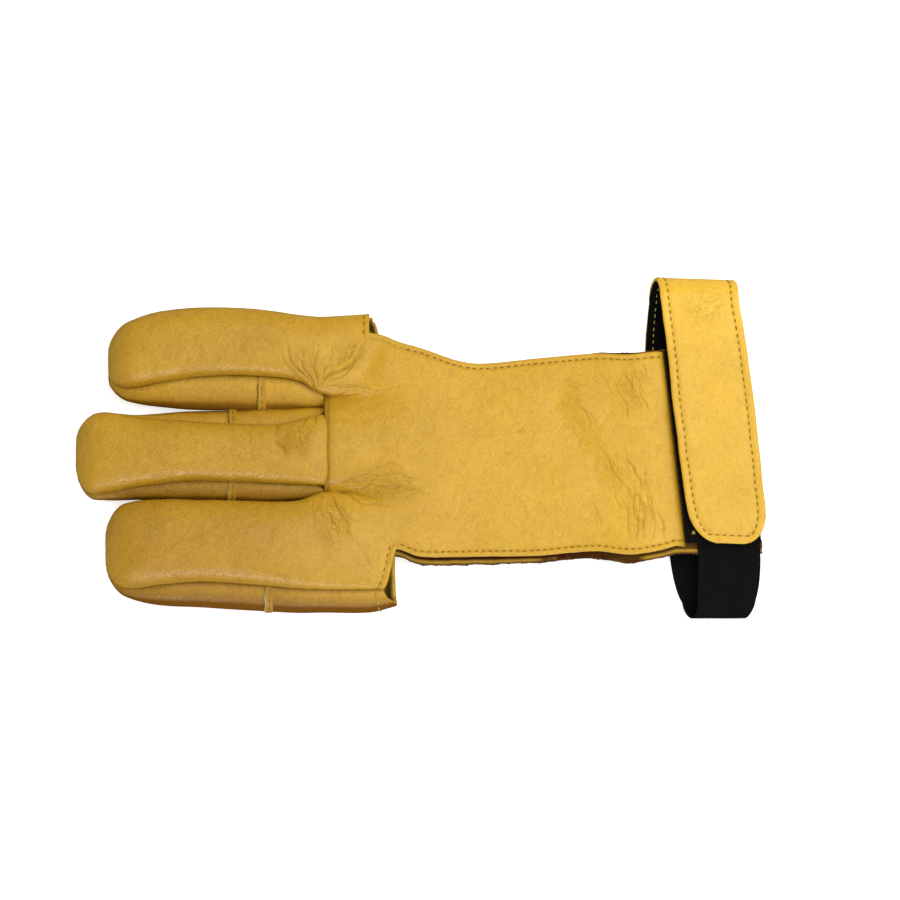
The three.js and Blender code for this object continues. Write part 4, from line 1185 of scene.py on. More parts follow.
# Fine wrinkles: patches where the leather is gathered
# centre and reach in the camera's plane, length and width of a wrinkle, turn, depth
PATCHES = [
    ((19.0, -9.0), (17.0, 6.5), 6.0, 1.4, 2, 0.26),
    ((3.0, -20.0), (7.0, 11.0), 5.0, 1.6, 105, 0.22),
    ((-7.0, 31.0), (8.0, 8.0), 6.0, 1.7, 112, 0.16),
    ((9.0, 35.0), (7.0, 6.0), 5.0, 1.6, 48, 0.16),
    ((8.0, 24.5), (9.0, 2.5), 7.0, 1.4, -2, 0.14),
    ((105.0, -15.0), (6.0, 12.0), 8.0, 1.5, 96, 0.17),
    ((98.0, -4.0), (8.0, 8.0), 6.0, 1.7, 118, 0.15),
    ((103.0, 24.0), (5.0, 9.0), 5.0, 1.4, 112, 0.21),
    ((-7.5, 6.0), (6.0, 7.0), 3.4, 1.3, 125, 0.16),
    ((-10.0, -28.0), (14.0, 8.0), 4.0, 1.5, 15, 0.08),
    ((127.0, 50.0), (9.0, 7.0), 4.5, 1.3, 35, 0.13),
]


def in_patch(x, w, centre, reach, turn):
    """How much of a patch each place has, and the place along and across its wrinkles."""
    dx, dw = x - centre[0], w - centre[1]
    c, s = math.cos(math.radians(turn)), math.sin(math.radians(turn))
    share = np.exp(-((dx / reach[0]) ** 2) - (dw / reach[1]) ** 2)
    return share, c * dx + s * dw, c * dw - s * dx


def gather(points):
    """Depth of the fine wrinkles at each point, and the painted shade in their valleys."""
    x, w = points[..., 0], seen_height(points)
    lift, dark = np.zeros(x.shape), np.zeros(x.shape)
    for k, (centre, reach, long, short, turn, depth) in enumerate(PATCHES):
        mask, a, b = in_patch(x, w, centre, reach, turn)
        bend = 0.5 * noise(x - centre[0], w - centre[1], 6, k)
        n = noise(a / long, b / short + bend, 1.0, k + 3)
        valley = bell(n, 0.22)
        lift += depth * mask * (0.4 * np.abs(n) - 0.5 * valley)
        dark = np.maximum(dark, mask * valley * min(1.0, 0.8 * depth))
    return lift, dark


def fine_folds(points):
    """Where the finest wrinkles run: a place along and across them, and how deep they are.
    The leather's look draws them. Where two patches meet, the depth goes down to nothing."""
    x, w = points[..., 0], seen_height(points)
    turned = x * 0.8 + w * 0.6, w * 0.8 - x * 0.6
    along, crosswise = 0.32 * turned[0], 0.75 * turned[1]
    best = np.interp(x, [-10, 0, 112, 120], [0.34, 0.24, 0.22, 0.08])
    second = np.zeros(x.shape)
    for centre, reach, long, short, turn, depth in PATCHES:
        share, a, b = in_patch(x, w, centre, reach, turn)
        here = min(1.0, 5.5 * depth) * share
        stronger = here > best
        along = np.where(stronger, a / (0.45 * long), along)
        crosswise = np.where(stronger, b / (0.42 * short), crosswise)
        second = np.where(stronger, best, np.maximum(second, here))
        best = np.maximum(best, here)
    return np.stack([along, crosswise, best - second], axis=-1)


# Painted shade along a seam, darkest on the seam line
def seam_shade(away, strength=1.0):
    return strength * (0.80 * bell(away, 0.42) + 0.18 * bell(away, 1.4))


def spans(*parts):
    """Joined even runs, each given as start, end and number of cells."""
    return join(*[np.linspace(a, b, n + 1) for a, b, n in parts])


def finger_rows(tip_cells, cells):
    start = TIP_SHARE * (1 - np.cos(np.linspace(0, math.pi / 2, tip_cells + 1)))
    return join(start, np.linspace(TIP_SHARE, 1, cells + 1))


STITCH_INSET = 1.9

# Back leather
back_rows = join(
    finger_rows(24, 124), spans((1, 2, 64), (2, 2.25, 60), (2.25, 2.7, 44), (2.7, 3, 104))
)
back_columns = spans(
    (0, OUTER, 32), (OUTER, LEG, 52), (LEG, LEG + CENTRE, 68),
    (LEG + CENTRE, FAR - OUTER, 52), (FAR - OUTER, FAR, 32),
)
P = back_point(back_rows[:, None], back_columns[None, :])
row_web, row_open = index_of(back_rows, 1), index_of(back_rows, 2)
col_high, col_ring, col_index, col_low = (
    index_of(back_columns, c) for c in (OUTER, LEG, LEG + CENTRE, FAR - OUTER)
)
cell_row = np.arange(len(back_rows) - 1)[:, None]
cell_col = np.arange(len(back_columns) - 1)[None, :]
in_centre = (cell_col >= col_ring) & (cell_col < col_index)
in_outer = (cell_col < col_high) | (cell_col >= col_low)
back_present = np.where(cell_row < row_web, ~in_centre, (cell_row < row_open) | ~in_outer)

ring_seam = np.concatenate([P[row_open::-1, 0], P[0, 1:col_ring], P[: row_web + 1, col_ring]])
index_seam = np.concatenate([
    P[row_web::-1, col_index], P[0, col_index + 1 :], P[1 : row_open + 1, -1]
])
root_seam = P[row_web, col_ring : col_index + 1]
high_edge = np.concatenate([P[row_open, : col_high + 1], P[row_open + 1 :, col_high]])
low_edge = np.concatenate([P[row_open, : col_low - 1 : -1], P[row_open + 1 :, col_low]])
N = grid_normals(P, back_present)
ring_away, ring_place = nearest(P, ring_seam)
index_away, index_place = nearest(P, index_seam)
root_away, root_place = nearest(P, root_seam)
high_away, high_place = nearest(P, high_edge)
low_away, low_place = nearest(P, low_edge)
wrist_away, _ = nearest(P, P[-1, col_high : col_low + 1])
seam_away = np.minimum(ring_away, index_away)
seam_place = np.where(ring_away < index_away, ring_place, index_place)
edge_away = np.minimum(high_away, low_away)
edge_place = np.where(high_away < low_away, high_place, low_place)
groove, drawn_in = stitch_groove(edge_away - STITCH_INSET, edge_place, STITCH_PITCH)
lift = soft_relief(P)
lift -= roll(seam_away, 1.15) + pucker(seam_away, seam_place, 0.14)
lift -= 0.5 * roll(root_away, 0.6) + pucker(root_away, root_place, 0.08)
lift -= drawn_in
lift += 0.10 * bell(edge_away - 0.8, 0.5) - 0.5 * roll(edge_away, 0.5)
lift -= 0.6 * roll(wrist_away, 3.4)
# Painted shade along the seams and the middle finger's root, in the stitch groove, at the edges
# and along the down-turned wrist end, more on its lower part; a painted shadow of the middle
# finger's raised root falls on the hand beside it
dark = seam_shade(seam_away) + seam_shade(root_away, 0.7)
dark += 0.16 * groove + 0.10 * bell(edge_away, 0.6)
low_part = ease((24 - P[..., 1]) / 14)
dark += (0.14 + 0.2 * low_part) * bell(wrist_away, 1.6) + 0.18 * low_part * bell(wrist_away, 4.0)
dark += 0.20 * bell(root_away, 2.8) + 0.35 * bell(root_away - 1.5, 0.6)
# Painted shade in the creases and fine wrinkles
for rows in (RING_CREASES, HAND_CREASES, INDEX_CREASES):
    up, shade = crease_lift(P, rows)
    lift += up
    dark = np.maximum(dark, 0.6 * shade)
up, shade = gather(P)
lift += up
dark = np.maximum(dark, 0.5 * shade)
P = P + N * lift[..., None]
panel("back_leather", P, [GOLD, SUEDE, RAW], "leather", "back_panel",
      present=back_present, tone=leather_tone_and_light(P), dark=dark, fuzz=0.07)
BACK, BACK_N = P, grid_normals(P, back_present)

# Back of the middle finger
middle_x = (finger_rows(24, 156) - 1) * MIDDLE.length
middle_t = np.linspace(0, 1, 101)[None, :]
overlap = (1.5 + 0.12 * np.sin(middle_t * 21)) * (1 - np.abs(2 * middle_t - 1) ** 2.6)
P = middle_point(middle_x[:, None] + overlap * ease(1 + middle_x / 5)[:, None], middle_t)
seam = np.concatenate([P[::-1, 0], P[0, 1:], P[1:, -1]])
N = grid_normals(P)
seam_away, seam_place = nearest(P, seam)
root_away, root_place = nearest(P, P[-1])
lift = soft_relief(P) - roll(seam_away, 1.15) - pucker(seam_away, seam_place, 0.14)
lift -= 0.8 * roll(root_away, 1.0) + pucker(root_away, root_place, 0.12)
# Painted shade along its seams and root end, and in its creases and fine wrinkles
dark = seam_shade(seam_away) + seam_shade(root_away, 0.35)
for up, shade in (crease_lift(P, MIDDLE_CREASES), gather(P)):
    lift += up
    dark = np.maximum(dark, 0.6 * shade)
x, w = P[..., 0], seen_height(P)
# A dent with painted shade in it, and a swell
dent = bell(x + 13.2, 3.0) * bell(w - 6.8, 4.4)
swell = bell(x + 3.5, 3.0) * bell(w - 9.0, 6.0)
lift += 0.5 * swell - 0.9 * dent
dark = np.maximum(dark, 0.26 * dent)
P = P + N * lift[..., None]
# Painted highlight along the lit root end
panel("middle_finger_back", P, [GOLD, SUEDE, RAW], "leather", "middle_back",
      tone=leather_tone_and_light(P) + 0.10 * bell(root_away, 0.8), dark=dark)

# Gussets and welts
GUSSET_V = np.linspace(0, 1, 33)
TUCK = 0.75
TIP_WALL, THIN_REACH = 0.15, 7
LAP_TO_TIP, LAP_TO_HAND, LAP_WALL = 0.9, 1.5, 0.9


def tucked(f, side, xs, vs, press=0.0):
    """A gusset whose upper edge lies a little inside the back leather that it is sewn to.
    press pushes it out towards the neighbouring finger, close to the web."""
    sign = SIGN[side]
    points = gusset_point(f, side, xs, vs)
    v = np.broadcast_to(vs, points.shape[:-1])
    x = points[..., 0]
    points[..., 1] -= sign * TUCK * (1 - ease(v / 0.22))
    near_web = ease((x + 34) / 16) * press + 0.6 * (press > 0) * ease((x + 13) / 8)
    points[..., 1] += sign * near_web * np.sin(math.pi * v) ** 0.7
    tip = x + f.length - GUSSET_START
    points[..., 1] -= sign * 0.2 * np.exp(-np.maximum(tip, 0) / 1.2)
    return points


def gusset_mesh(name, points, sign, node, free=False, tip=None):
    n = grid_normals(points)
    lift = 0.6 * soft_relief(points)
    dark = np.zeros(points.shape[:2])
    lift += 0.6 * gather(points)[0]
    wall = np.broadcast_to(LEATHER if tip is None else tip, len(points))[:, None, None]
    full = wall[..., 0] / LEATHER
    # The seams draw the edges in, with painted shade along them
    for line, radius, strength in ((points[:, 0], 0.7, 1.0), (points[:, -1], 0.9, 0.8)):
        away, place = nearest(points, line)
        lift -= full * (roll(away, radius) + pucker(away, place, 0.12))
        dark += seam_shade(away, strength) * (0.5 + 0.5 * full)
    # Painted shade: darker towards the bottom, where the gusset turns away from the light, most on
    # the index finger's outer gusset, with a line of painted shadow along the bottom
    v = np.linspace(0, 1, points.shape[1])[None, :]
    outermost = points[..., 1] < INDEX.axis
    dark += np.where(outermost, 0.78 * ease((v - 0.10) / 0.27), 0.45 * ease((v - 0.15) / 0.3))
    dark += 0.4 * ease((v - 0.28) / 0.1)
    points = points + n * (lift * -sign)[..., None]
    # All gussets are painted a little darker as shade, those on the index finger's outer side more
    # and those between the middle and index fingers most
    low = (points[..., 1] < 0) & (points[..., 1] > INDEX.axis)
    tone = leather_tone_and_light(points) - 0.03 - 0.13 * outermost - 0.18 * low
    # A band of painted highlight along the gusset's upper part
    tone = tone + 0.14 * bell(v - 0.09, 0.05)
    panel(name, points, [GOLD, SUEDE, RAW], "leather", node, wall=wall, back=-sign,
          tone=tone, dark=dark, coarse=1 if free else 4, fuzz=0.16 if free else 0)


def even(start, end, spacing=0.6):
    cells = max(4, 4 * int(abs(end - start) / spacing / 4 + 0.5))
    return np.linspace(start, end, cells + 1)


def tube(points, ups, radius, look, name, slot):
    """A round strip along a line."""
    side = unit(np.cross(unit(np.gradient(points, axis=0)), ups))[:, None]
    turn = (np.arange(8) * 2 * math.pi / 8)[None, :, None]
    ring = np.cos(turn) * side + np.sin(turn) * ups[:, None]
    mesh = Mesh()
    mesh.rod(points[:, None, :] + ring * radius[:, None, None])
    placed(mesh.make(name, [look]), slot)


WELTS = [
    (RING, "high", 0.3, "ring_outer", 0.0),
    (RING, "low", 0.29, "ring_inner", 0.8),
    (MIDDLE, "high", 0.37, "middle_high", 0.9),
    (MIDDLE, "low", 0.37, "middle_low", 0.7),
    (INDEX, "high", 0.3, "index_inner", 0.7),
    (INDEX, "low", 0.25, "index_outer", 0.0),
]
welt_x, press_of = {}, {}
welt_lines = []
for f, side, at, name, press in WELTS:
    sign = SIGN[side]
    x0 = -f.length * at
    welt_x[name], press_of[name] = x0, press
    start = -f.length + GUSSET_START / 2 + 0.08
    near_tip = start + 6 * (1 - np.cos(np.linspace(0, math.pi / 2, 17)))
    xs = join(near_tip, even(start + 6, x0))
    points = tucked(f, side, xs[:, None], GUSSET_V[None, :], press)
    thin = TIP_WALL + (LEATHER - TIP_WALL) * ease((xs - start) / THIN_REACH)
    gusset_mesh(name + "_tip_side", points, sign, name + "_tip_gusset", tip=thin)
    # The lap: the hand's part ends in a raw edge on top of the tip's part, sewn down
    xs = np.linspace(x0 - LAP_TO_TIP, x0 + LAP_TO_HAND, 13)
    points = tucked(f, side, xs[:, None], GUSSET_V[None, :], press)
    n = grid_normals(points) * -sign
    rise = np.interp(xs - x0, [-LAP_TO_TIP, 0.9, LAP_TO_HAND], [0.5, 0.42, 0.04])
    rise = rise[:, None] * np.ones(len(GUSSET_V))
    for line in (points[:, 0], points[:, -1]):
        rise = rise - 1.3 * roll(nearest(points, line)[0], 0.9)
    rise -= 0.14 * bell(xs[:, None] - x0 - 0.3, 0.35)
    lap = points + n * rise[..., None]
    panel(name + "_lap", lap, [GOLD, SUEDE, CREAM], "leather", name + "_welt",
          wall=LAP_WALL, back=-sign, tone=leather_tone_and_light(lap) - 0.05, dark=0.12)
    keep = slice(3, -3)
    welt_lines.append((lap[6, keep], n[6, keep]))
    wave = 0.10 * np.sin(GUSSET_V[keep] * 23 + x0)
    line = lap[0, keep] - n[0, keep] * 0.22
    line[:, 0] += wave - 0.12
    radius = 0.30 + 0.05 * np.sin(GUSSET_V[keep] * 31 + x0)
    pale = name in ("middle_low", "index_outer")
    tube(line, n[0, keep], radius, CREAM if pale else DULL, name + "_cut_edge", "suede")
stitches("lap_stitches", welt_lines, OLIVE, pitch=2.2, length=1.4, radius=0.15)

for f, side, name, weld, opening, flare in (
    (RING, "high", "ring_side", "ring_outer", RING_OPENING, RING_FLARE),
    (INDEX, "low", "index_side", "index_outer",
     INDEX_OPENING - INDEX_OPENING_SLANT, INDEX_FLARE),
):
    sign = SIGN[side]
    xs = even(welt_x[weld], opening, 0.5)[:, None] * np.ones(len(GUSSET_V))
    xs = xs + flare * ease(GUSSET_V / 0.42) * np.clip(xs / opening, 0, 1) ** 3
    points = tucked(f, side, xs, GUSSET_V * np.ones_like(xs))
    gusset_mesh(name + "_hand_side", points, sign, name + "_gusset", free=True)


def web_points(first, second, first_name, second_name):
    leg_end = -WEB_SETBACK
    v = GUSSET_V[None, :]
    a = even(welt_x[first_name], leg_end)[:, None]
    c = even(leg_end, welt_x[second_name])[:, None]
    one = tucked(first, "low", a, v, press_of[first_name])
    two = tucked(second, "high", c, v, press_of[second_name])
    turn = np.linspace(0, math.pi, 17)[1:-1, None, None]
    bend = mix(one[-1][None], two[0][None], (1 - np.cos(turn)) / 2)
    reach = mix(4.8, WEB_BULGE + 0.9, ease(v[0] / 0.6))
    bend[..., 0] += reach * np.sin(turn[..., 0])
    return np.concatenate([one, bend, two])


for name, first, second, a, b in (
    ("ring_middle_web", RING, MIDDLE, "ring_inner", "middle_high"),
    ("middle_index_web", MIDDLE, INDEX, "middle_low", "index_inner"),
):
    gusset_mesh(name + "_leather", web_points(first, second, a, b), -1, name + "_gusset")

# Palm leather
palm_rows = join(finger_rows(16, 84), np.linspace(1, 2, 41))
palm_columns = spans((0, 6, 36), (6, 8, 8), (8, 14, 36), (14, 16, 8), (16, 22, 36))
P = palm_point(palm_rows[:, None], palm_columns[None, :])
row_web_palm = index_of(palm_rows, 1)
cell_row = np.arange(len(palm_rows) - 1)[:, None]
cell_middle = (palm_columns[1:] + palm_columns[:-1])[None, :] / 2
palm_present = (cell_row >= row_web_palm) | (cell_middle % (PALM_LEG + PALM_WEB) < PALM_LEG)
# Its free edge curls up a little, most of all at the index finger's opening
CURL_START, CURL_REACH = 1.86, 0.14
curl = np.clip((palm_rows - CURL_START) / CURL_REACH, 0, 1)[:, None]
lip = 0.5 + 6.2 * ease((palm_columns - 16.5) / 3.0) + 4.0 * ease((3 - palm_columns) / 3)
P[..., 2] += lip[None, :] * curl**2
P[..., 0] -= 1.6 * (np.clip(1 - palm_columns / 3, 0, 1) ** 2)[None, :] * curl
N = grid_normals(P, palm_present)
lift, dark = np.zeros(P.shape[:2]), np.zeros(P.shape[:2])
for first in PALM_STARTS:
    c0, c1 = (index_of(palm_columns, first + d) for d in (0, PALM_LEG))
    line = np.concatenate([P[row_web_palm::-1, c0], P[0, c0 + 1 : c1], P[: row_web_palm + 1, c1]])
    away, place = nearest(P, line)
    lift += pucker(away, place, 0.12) + roll(away, 0.8)
    # Painted shade along the finger seams
    dark = np.maximum(dark, seam_shade(away))
end_away, _ = nearest(P, P[-1])
lift += 0.2 * bell(end_away - 2.2, 0.5)
lift += np.maximum(0, 0.25 * noise(P[..., 0], P[..., 1], 9, 14))
P = P + N * lift[..., None]
P[..., 2] = np.maximum(P[..., 2], 0)
panel("palm_leather", P, [GOLD, SUEDE, RAW], "palm_leather", "palm_panel",
      present=palm_present, back=-1, tone=leather_tone_and_light(P) - 0.04, dark=dark, fuzz=0.06, coarse=1)
line = P[-8, 8:-8] - np.array([0, 0, 0.02])
stitches("palm_hem_stitches", [(line, np.zeros(line.shape) - [0, 0, 1.0])], OLIVE)

# Under layer
def under_point(row, column):
    row, column = np.broadcast_arrays(np.asarray(row, float), np.asarray(column, float))
    in_row = np.minimum(row, 3)
    s = hand_share(column)
    face = back_point(in_row, column)
    face = face - grid_normals(face) * (LEATHER + SEAM_GAP)
    high = np.maximum(0, 1 - 2 * s) ** 8
    low = np.maximum(0, 2 * s - 1) ** 8
    wave = 0.45 * noise(face[..., 0], 0 * s, 15, 15) + 0.16 * noise(face[..., 0], 0 * s, 3.1, 16)
    lip_high = LINING_LIP_HIGH * np.interp(face[..., 0], [25, 70, 100], [-0.4, 0.1, 0.7])
    face[..., 1] += (lip_high + 0.6 * wave) * high - (LINING_LIP_LOW + wave) * low
    face[..., 2] -= GAP / 2 * (high + low)
    tab = row >= 3
    tab_x = body_end(face[..., 1]) + (row - 3) * WRIST_TAB
    face[..., 0] = np.where(tab, tab_x, face[..., 0])
    face[..., 2] = np.where(tab, LINING_TOP, face[..., 2])
    return face


under_rows = spans((2 - 0.012, 3, 176), (3, 4, 44))
under_columns = spans((OUTER, LEG, 32), (LEG, LEG + CENTRE, 40), (LEG + CENTRE, FAR - OUTER, 32))
U = under_point(under_rows[:, None], under_columns[None, :])
U[..., 2] += 0.12 * noise(U[..., 0], U[..., 1], 8, 16) - 0.12
# Under the back leather's edge, beyond a golden strip, the under layer is dark: partly painted
# shade between the layers and partly the dark raw edge; it is also darker at its lower border and
# a little darker all over
border_away = np.abs(U[..., 1] - U[:, -1:, 1])
ragged = border_away + 0.25 * noise(U[..., 0], U[..., 1], 2.0, 18)
fade = np.interp(U[..., 0], [35, 60, 95, 117], [1.0, 0.95, 0.85, 0.8])
strip = np.interp(U[..., 0], [25, 66, 80, 102, 110], [1.25, 1.15, 0.6, 0.5, 1.2])
brown = fade * ease((ragged - strip + 0.2) / 0.4) + 0.9 * bell(ragged, 0.42)
panel("under_leather", U, [UNDER, RUST, BROWN_RAW], "suede", "under_layer",
      tone=leather_tone_and_light(U) - 0.10, dark=brown + 0.10 * fade, fuzz=0.2)

# Loop tape
tape_rows = 3 + np.linspace(2 * GAP, WRIST_TAB - GAP, 49) / WRIST_TAB
tape_columns = np.interp(
    np.linspace(0, 1, 121), np.linspace(0, 1, 5),
    [OUTER + 0.2, LEG, LEG + CENTRE / 2, LEG + CENTRE, FAR - OUTER - 0.9],
)
T = under_point(tape_rows[:, None], tape_columns[None, :])
T[..., 2] = PATCH_TOP + band_step(T[..., 1])
T[..., 2] += 0.1 * noise(T[..., 0], T[..., 1], 1.1, 17)
T[..., 2] += 0.05 * noise(T[..., 0], T[..., 1], 0.7, 18)
panel("loop_tape_pile", T, [LOOP] * 3, "tape", "loop_tape", wall=TAPE, fuzz=0.12)
marks = []
for column, row in ((-6, 5), (-6, -3), (6, 5), (6, -3)):
    for turn in (0.5, 1.3, 2.1, 2.7):
        reach = np.linspace(-1.0, 1.0, 5)[:, None]
        line = T[row, column] + reach * np.array([math.cos(turn), math.sin(turn), 0])
        marks.append((line + [0, 0, 0.12], np.zeros((5, 3)) + [0, 0, 1.0]))
stitches("tape_corner_stitches", marks, LIME, pitch=1.9, length=1.5, radius=0.15)

# Strap
strap_line = band_line(
    STRAP_END, BAND_HIGH - LEATHER / 2, STRAP_REAR_END,
    STRAP_BOTTOM + LEATHER / 2, LEATHER / 2,
    lambda y: TAPE_STEP * ease((2 - y) / (STRAP_TIP + BAND_RAMP + 6)), lambda y: 0 * y,
)


def strap_width(length, inset=0.0):
    t = np.clip((length - inset) / STRAP_TIP, 0, 1)
    share = mix(STRAP_TIP_FLAT, 1, np.sqrt(1 - (1 - t) ** 2))
    return STRAP_WIDTH * share - 2 * inset


lengths = join(
    STRAP_TIP * (1 - np.cos(np.linspace(0, math.pi / 2, 17))),
    even(STRAP_TIP, strap_line.upper),
    even(strap_line.upper, strap_line.upper + strap_line.around, 0.45),
    even(strap_line.upper + strap_line.around, strap_line.whole, 0.9),
)
sides = np.linspace(-1, 1, 57)
P = band_points(strap_line, lengths, sides, strap_width, LEATHER / 2, STRAP_TILT)
# Soft leather isn't cut quite straight: how far each side stands out along the strap
left = np.interp(lengths, [0, 8, 25, 50, 75, 90], [0, 0, -0.1, 0.1, -0.2, 0])
right = np.interp(lengths, [0, 6, 20, 28, 40, 58, 80, 90], [-0.2, -0.3, 0, 0.5, 0.7, 0.45, 0.1, 0])
small = 0.12 * noise(lengths, 0 * lengths, 5, 20)
weight = np.abs(sides)[None, :] ** 2
edge = np.where(sides[None, :] > 0, (right + small)[:, None], (left + small)[:, None])
P[..., 0] += edge * np.sign(sides)[None, :] * weight
N = grid_normals(P)
border = np.concatenate([P[::-1, 0], P[0, 1:], P[1:, -1]])
away, place = nearest(P, border)
on_top = lengths[:, None] < strap_line.upper + strap_line.around
STRAP_STITCH_INSET, STRAP_STITCH_PITCH = 2.7, 2.5
groove, drawn_in = stitch_groove(away - STRAP_STITCH_INSET, place, 2.4)
lift = -drawn_in
lift += 0.10 * bell(away - 0.9, 0.5) - roll(away, 0.5)
lift += np.where(on_top, 0.12 * noise(P[..., 0], P[..., 1], 10, 21), 0)
up, shade = gather(P)
lift += np.where(on_top, up, 0)
# Painted shade in the stitch groove and in the fine wrinkles on top
dark = 0.14 * groove + np.where(on_top, 0.5 * shade, 0)
P = P + N * lift[..., None]
P[..., 2] = np.maximum(P[..., 2], 0)
# Painted highlight: paler towards the strap's top
tone = leather_tone_and_light(P) + 0.03 + 0.24 * ease((P[..., 1] - 26) / 24)
panel("strap_leather", P, [GOLD, SUEDE, RAW], "leather", "strap",
      tone=tone, dark=dark, fuzz=0.05)
N = grid_normals(P)


def inset_points(rows, inset):
    """On each row of points and normals, the place that lies so far from its start."""
    at = [[read_off(inset, run_of(row), values) for values in (row, n)] for row, n in rows]
    return tuple(np.array(part) for part in zip(*at))


def inset_line(points, normals, inset, first, last, from_end):
    """A line a fixed way in from one side of a grid, row by row."""
    way = -1 if from_end else 1
    rows = [(points[i, ::way], normals[i, ::way]) for i in range(first, last)]
    return inset_points([row for row in rows if run_of(row[0])[-1] >= 2 * inset], inset)


def border_line(points, normals, inset, steps_in):
    """The strap's stitch line: up one side, round the tip, and back down the other."""
    left, right = (
        inset_line(points, normals, inset, steps_in, len(points), from_end)
        for from_end in (False, True)
    )
    tip = points[steps_in]
    keep = np.ones(len(tip), bool)
    for end in (tip[0], tip[-1]):
        keep &= np.linalg.norm(tip - end, axis=1) > inset
    middle = (tip[keep], normals[steps_in][keep])
    return tuple(np.concatenate([a[::-1], b, c]) for a, b, c in zip(left, middle, right))


tip_step = index_of(lengths, STRAP_STITCH_INSET)
strap_stitch = border_line(P, N, STRAP_STITCH_INSET, tip_step)
stitches("strap_stitches", [strap_stitch], OLIVE, pitch=STRAP_STITCH_PITCH, length=1.5)

# Hook tape inside the strap
hook_end = strap_line.whole - ELASTIC_OVERLAP - BAND_RAMP
hook_lengths = join(
    TAPE_INSET + STRAP_TIP * (1 - np.cos(np.linspace(0, math.pi / 2, 25))),
    even(STRAP_TIP + TAPE_INSET, hook_end, 0.8),
)
P = band_points(
    strap_line, hook_lengths, np.linspace(-1, 1, 41),
    lambda length: strap_width(length, TAPE_INSET) + 0.9,
    LEATHER / 2 - LEATHER - GAP * 0.4, STRAP_TILT,
)
N = grid_normals(P)
panel("hook_tape_lining", P, [HOOK] * 3, "tape", "hook_tape", wall=TAPE, fuzz=0.10)
inner = P - N * TAPE
first = index_of(hook_lengths, strap_line.upper - 12)
lines = [inset_line(inner, -N, 2.2, first, len(inner), from_end) for from_end in (False, True)]
stitches("lining_stitches", lines, LIME)

# Elastic
elastic_line = band_line(
    STRAP_END + ELASTIC_TUCK - BAND_RAMP / 3, BAND_LOW + ELASTIC / 2,
    STRAP_REAR_END + ELASTIC_OVERLAP, LINING_TOP + GAP + ELASTIC / 2, ELASTIC / 2,
    lambda y: 0 * y,
    lambda y: (LEATHER + GAP) * ease((y - STRAP_REAR_END + BAND_RAMP + 1) / BAND_RAMP),
)


def elastic_width(length):
    away = (length - elastic_line.upper - elastic_line.around / 2) / (elastic_line.around / 2)
    return ELASTIC_WIDTH * (1 - ELASTIC_NARROWING * bell(away, 1))


lengths = join(
    even(0, elastic_line.upper, 0.5),
    even(elastic_line.upper, elastic_line.upper + elastic_line.around, 0.35),
    even(elastic_line.upper + elastic_line.around, elastic_line.whole, 0.6),
)
sides = np.linspace(-1, 1, 97)
P = band_points(elastic_line, lengths, sides, elastic_width, ELASTIC / 2)
upper_run = 1 - ease((lengths - elastic_line.upper - elastic_line.around / 2) / 5)
P[..., 0] -= upper_run[:, None] * 0.7 * ease(sides)[None, :]
N = grid_normals(P) * -1
RIB_PITCH, RIB_HEIGHT = 1.1, 0.03
rib = np.cos(2 * math.pi * np.linspace(0, ELASTIC_WIDTH, len(sides)) / RIB_PITCH)[None, :]
P = P + N * (RIB_HEIGHT * rib)[..., None]
P[..., 2] = np.maximum(P[..., 2], 0)
panel("elastic_webbing", P, [WOVEN] * 3, "elastic", "elastic_band", wall=ELASTIC, back=-1)


# Stitching of the back leather
def hand_stitch_line(from_end):
    block = BACK[:, col_high : col_low + 1]
    block_n = BACK_N[:, col_high : col_low + 1]
    return inset_line(block, block_n, STITCH_INSET, row_open + 3, len(block) - 3, from_end)


def cuff_stitch_line(columns, inset):
    rows = [(BACK[row_open::-1, c], BACK_N[row_open::-1, c]) for c in columns]
    return inset_points(rows, inset)


ring_side = hand_stitch_line(False)
first = index_of(ring_side[0][:, 0], 27)
stitches(
    "hand_stitches",
    [
        tuple(part[first:] for part in ring_side),
        hand_stitch_line(True),
        cuff_stitch_line(range(2, col_high + 3), STITCH_INSET),
        cuff_stitch_line(range(col_low - 3, len(back_columns) - 2), STITCH_INSET + 0.5),
    ],
    OLIVE,
)
corner = tuple(part[: first + 1] for part in ring_side)
stitches("ring_corner_stitches", [corner], LIME, length=1.6)
# The index finger's cuff stitch runs on down the gusset
x = np.linspace(-1.9, -0.4, 14) + INDEX_OPENING - INDEX_OPENING_SLANT
run = np.linspace(0.06, 0.8, 14)
line = tucked(INDEX, "low", x, run)
out = np.stack([0 * x, -np.ones(14) * 0.6, 0.8 - run], axis=1)
stitches("index_gusset_stitches", [(line + 0.25 * out, out)], LIME,
         pitch=2.0, length=1.7, radius=0.21)

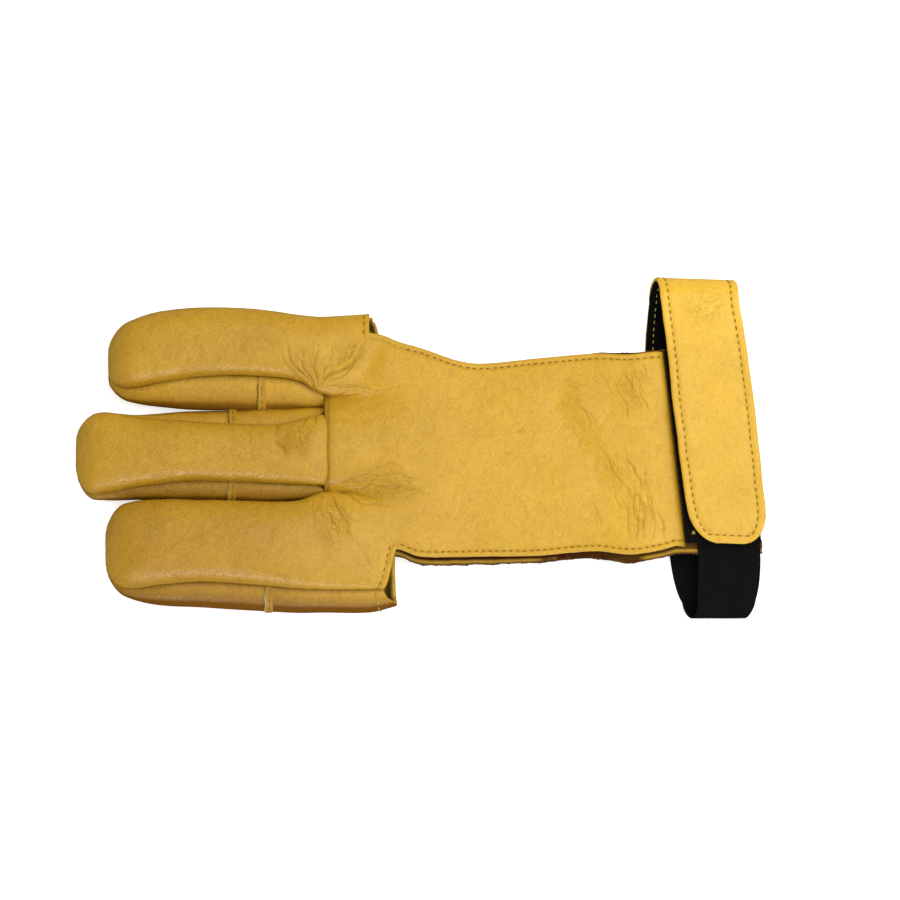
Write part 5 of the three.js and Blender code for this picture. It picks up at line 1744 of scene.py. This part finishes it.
# Floor, light and camera
SOFT_LIGHT = 0.62  # strength of the light from all round and of the pale floor
FLOOR_REACH, FLOOR_Z = 4, -0.0003
floor_mesh = bpy.data.meshes.new("floor")
corners = [
    (x * FLOOR_REACH, y * FLOOR_REACH, FLOOR_Z) for x, y in ((-1, -1), (1, -1), (1, 1), (-1, 1))
]
floor_mesh.from_pydata(corners, [], [(0, 1, 2, 3)])
floor = bpy.data.objects.new("floor", floor_mesh)
bpy.context.scene.collection.objects.link(floor)
paper = Look("pale_paper")
for key, value in (
    ("Base Color", (0.8, 0.8, 0.8, 1)), ("Emission Color", (1, 1, 1, 1)),
    ("Emission Strength", SOFT_LIGHT), ("Roughness", 0.9), ("Specular IOR Level", 0.1),
):
    paper.shader.inputs[key].default_value = value
floor_mesh.materials.append(paper.made)
floor.visible_glossy = False

world = bpy.data.worlds.new("studio")
bpy.context.scene.world = world
world.use_nodes = True
background = world.node_tree.nodes["Background"]
background.inputs["Color"].default_value = (1, 1, 1, 1)
background.inputs["Strength"].default_value = SOFT_LIGHT
world.cycles_visibility.glossy = False


def area_light(name, place, aim, size, power, seen_in):
    """A soft light that only the matt or only the glossy part of a look answers to."""
    lamp = bpy.data.lights.new(name, "AREA")
    lamp.shape = "RECTANGLE"
    lamp.size, lamp.size_y = size
    lamp.energy = power
    obj = bpy.data.objects.new(name, lamp)
    obj.location = place
    obj.rotation_euler = (Vector(aim) - Vector(place)).to_track_quat("-Z", "Y").to_euler()
    obj.visible_diffuse = seen_in == "DIFFUSE"
    obj.visible_glossy = seen_in == "GLOSSY"
    bpy.context.scene.collection.objects.link(obj)


area_light("key", (0.32, 0.06, 0.64), (0.02, 0, 0), (0.6, 0.6), 4.1, "DIFFUSE")
area_light("front", (-0.06, -0.50, 0.42), (-0.02, 0, 0), (0.5, 0.2), 0.7, "DIFFUSE")
area_light("front_sheen", (-0.06, -0.58, 0.34), (-0.02, 0, 0), (0.5, 0.02), 1.6, "GLOSSY")
area_light("top_sheen", (0.20, -0.10, 0.8), (0.05, 0, 0), (0.9, 0.7), 1.3, "GLOSSY")

PIXEL = 1 / 3  # mm of the photo's plane to one of its 900 pixels
camera_data = bpy.data.cameras.new("camera")
camera = bpy.data.objects.new("camera", camera_data)
bpy.context.scene.collection.objects.link(camera)
bpy.context.scene.camera = camera
DISTANCE = 1.6
camera_data.sensor_width = 36
camera_data.lens = 36 * DISTANCE / (900 * PIXEL * MM)
camera_data.clip_end = 20
target = to_frame([(450 - 324) * PIXEL, 1.63, 8])
offset = np.array([0, -math.cos(CAMERA_ELEVATION), math.sin(CAMERA_ELEVATION)]) * DISTANCE
camera.location = Vector(target + offset)
camera.rotation_euler = (Vector(target) - camera.location).to_track_quat("-Z", "Y").to_euler()

bpy.context.scene.view_settings.view_transform = "Standard"
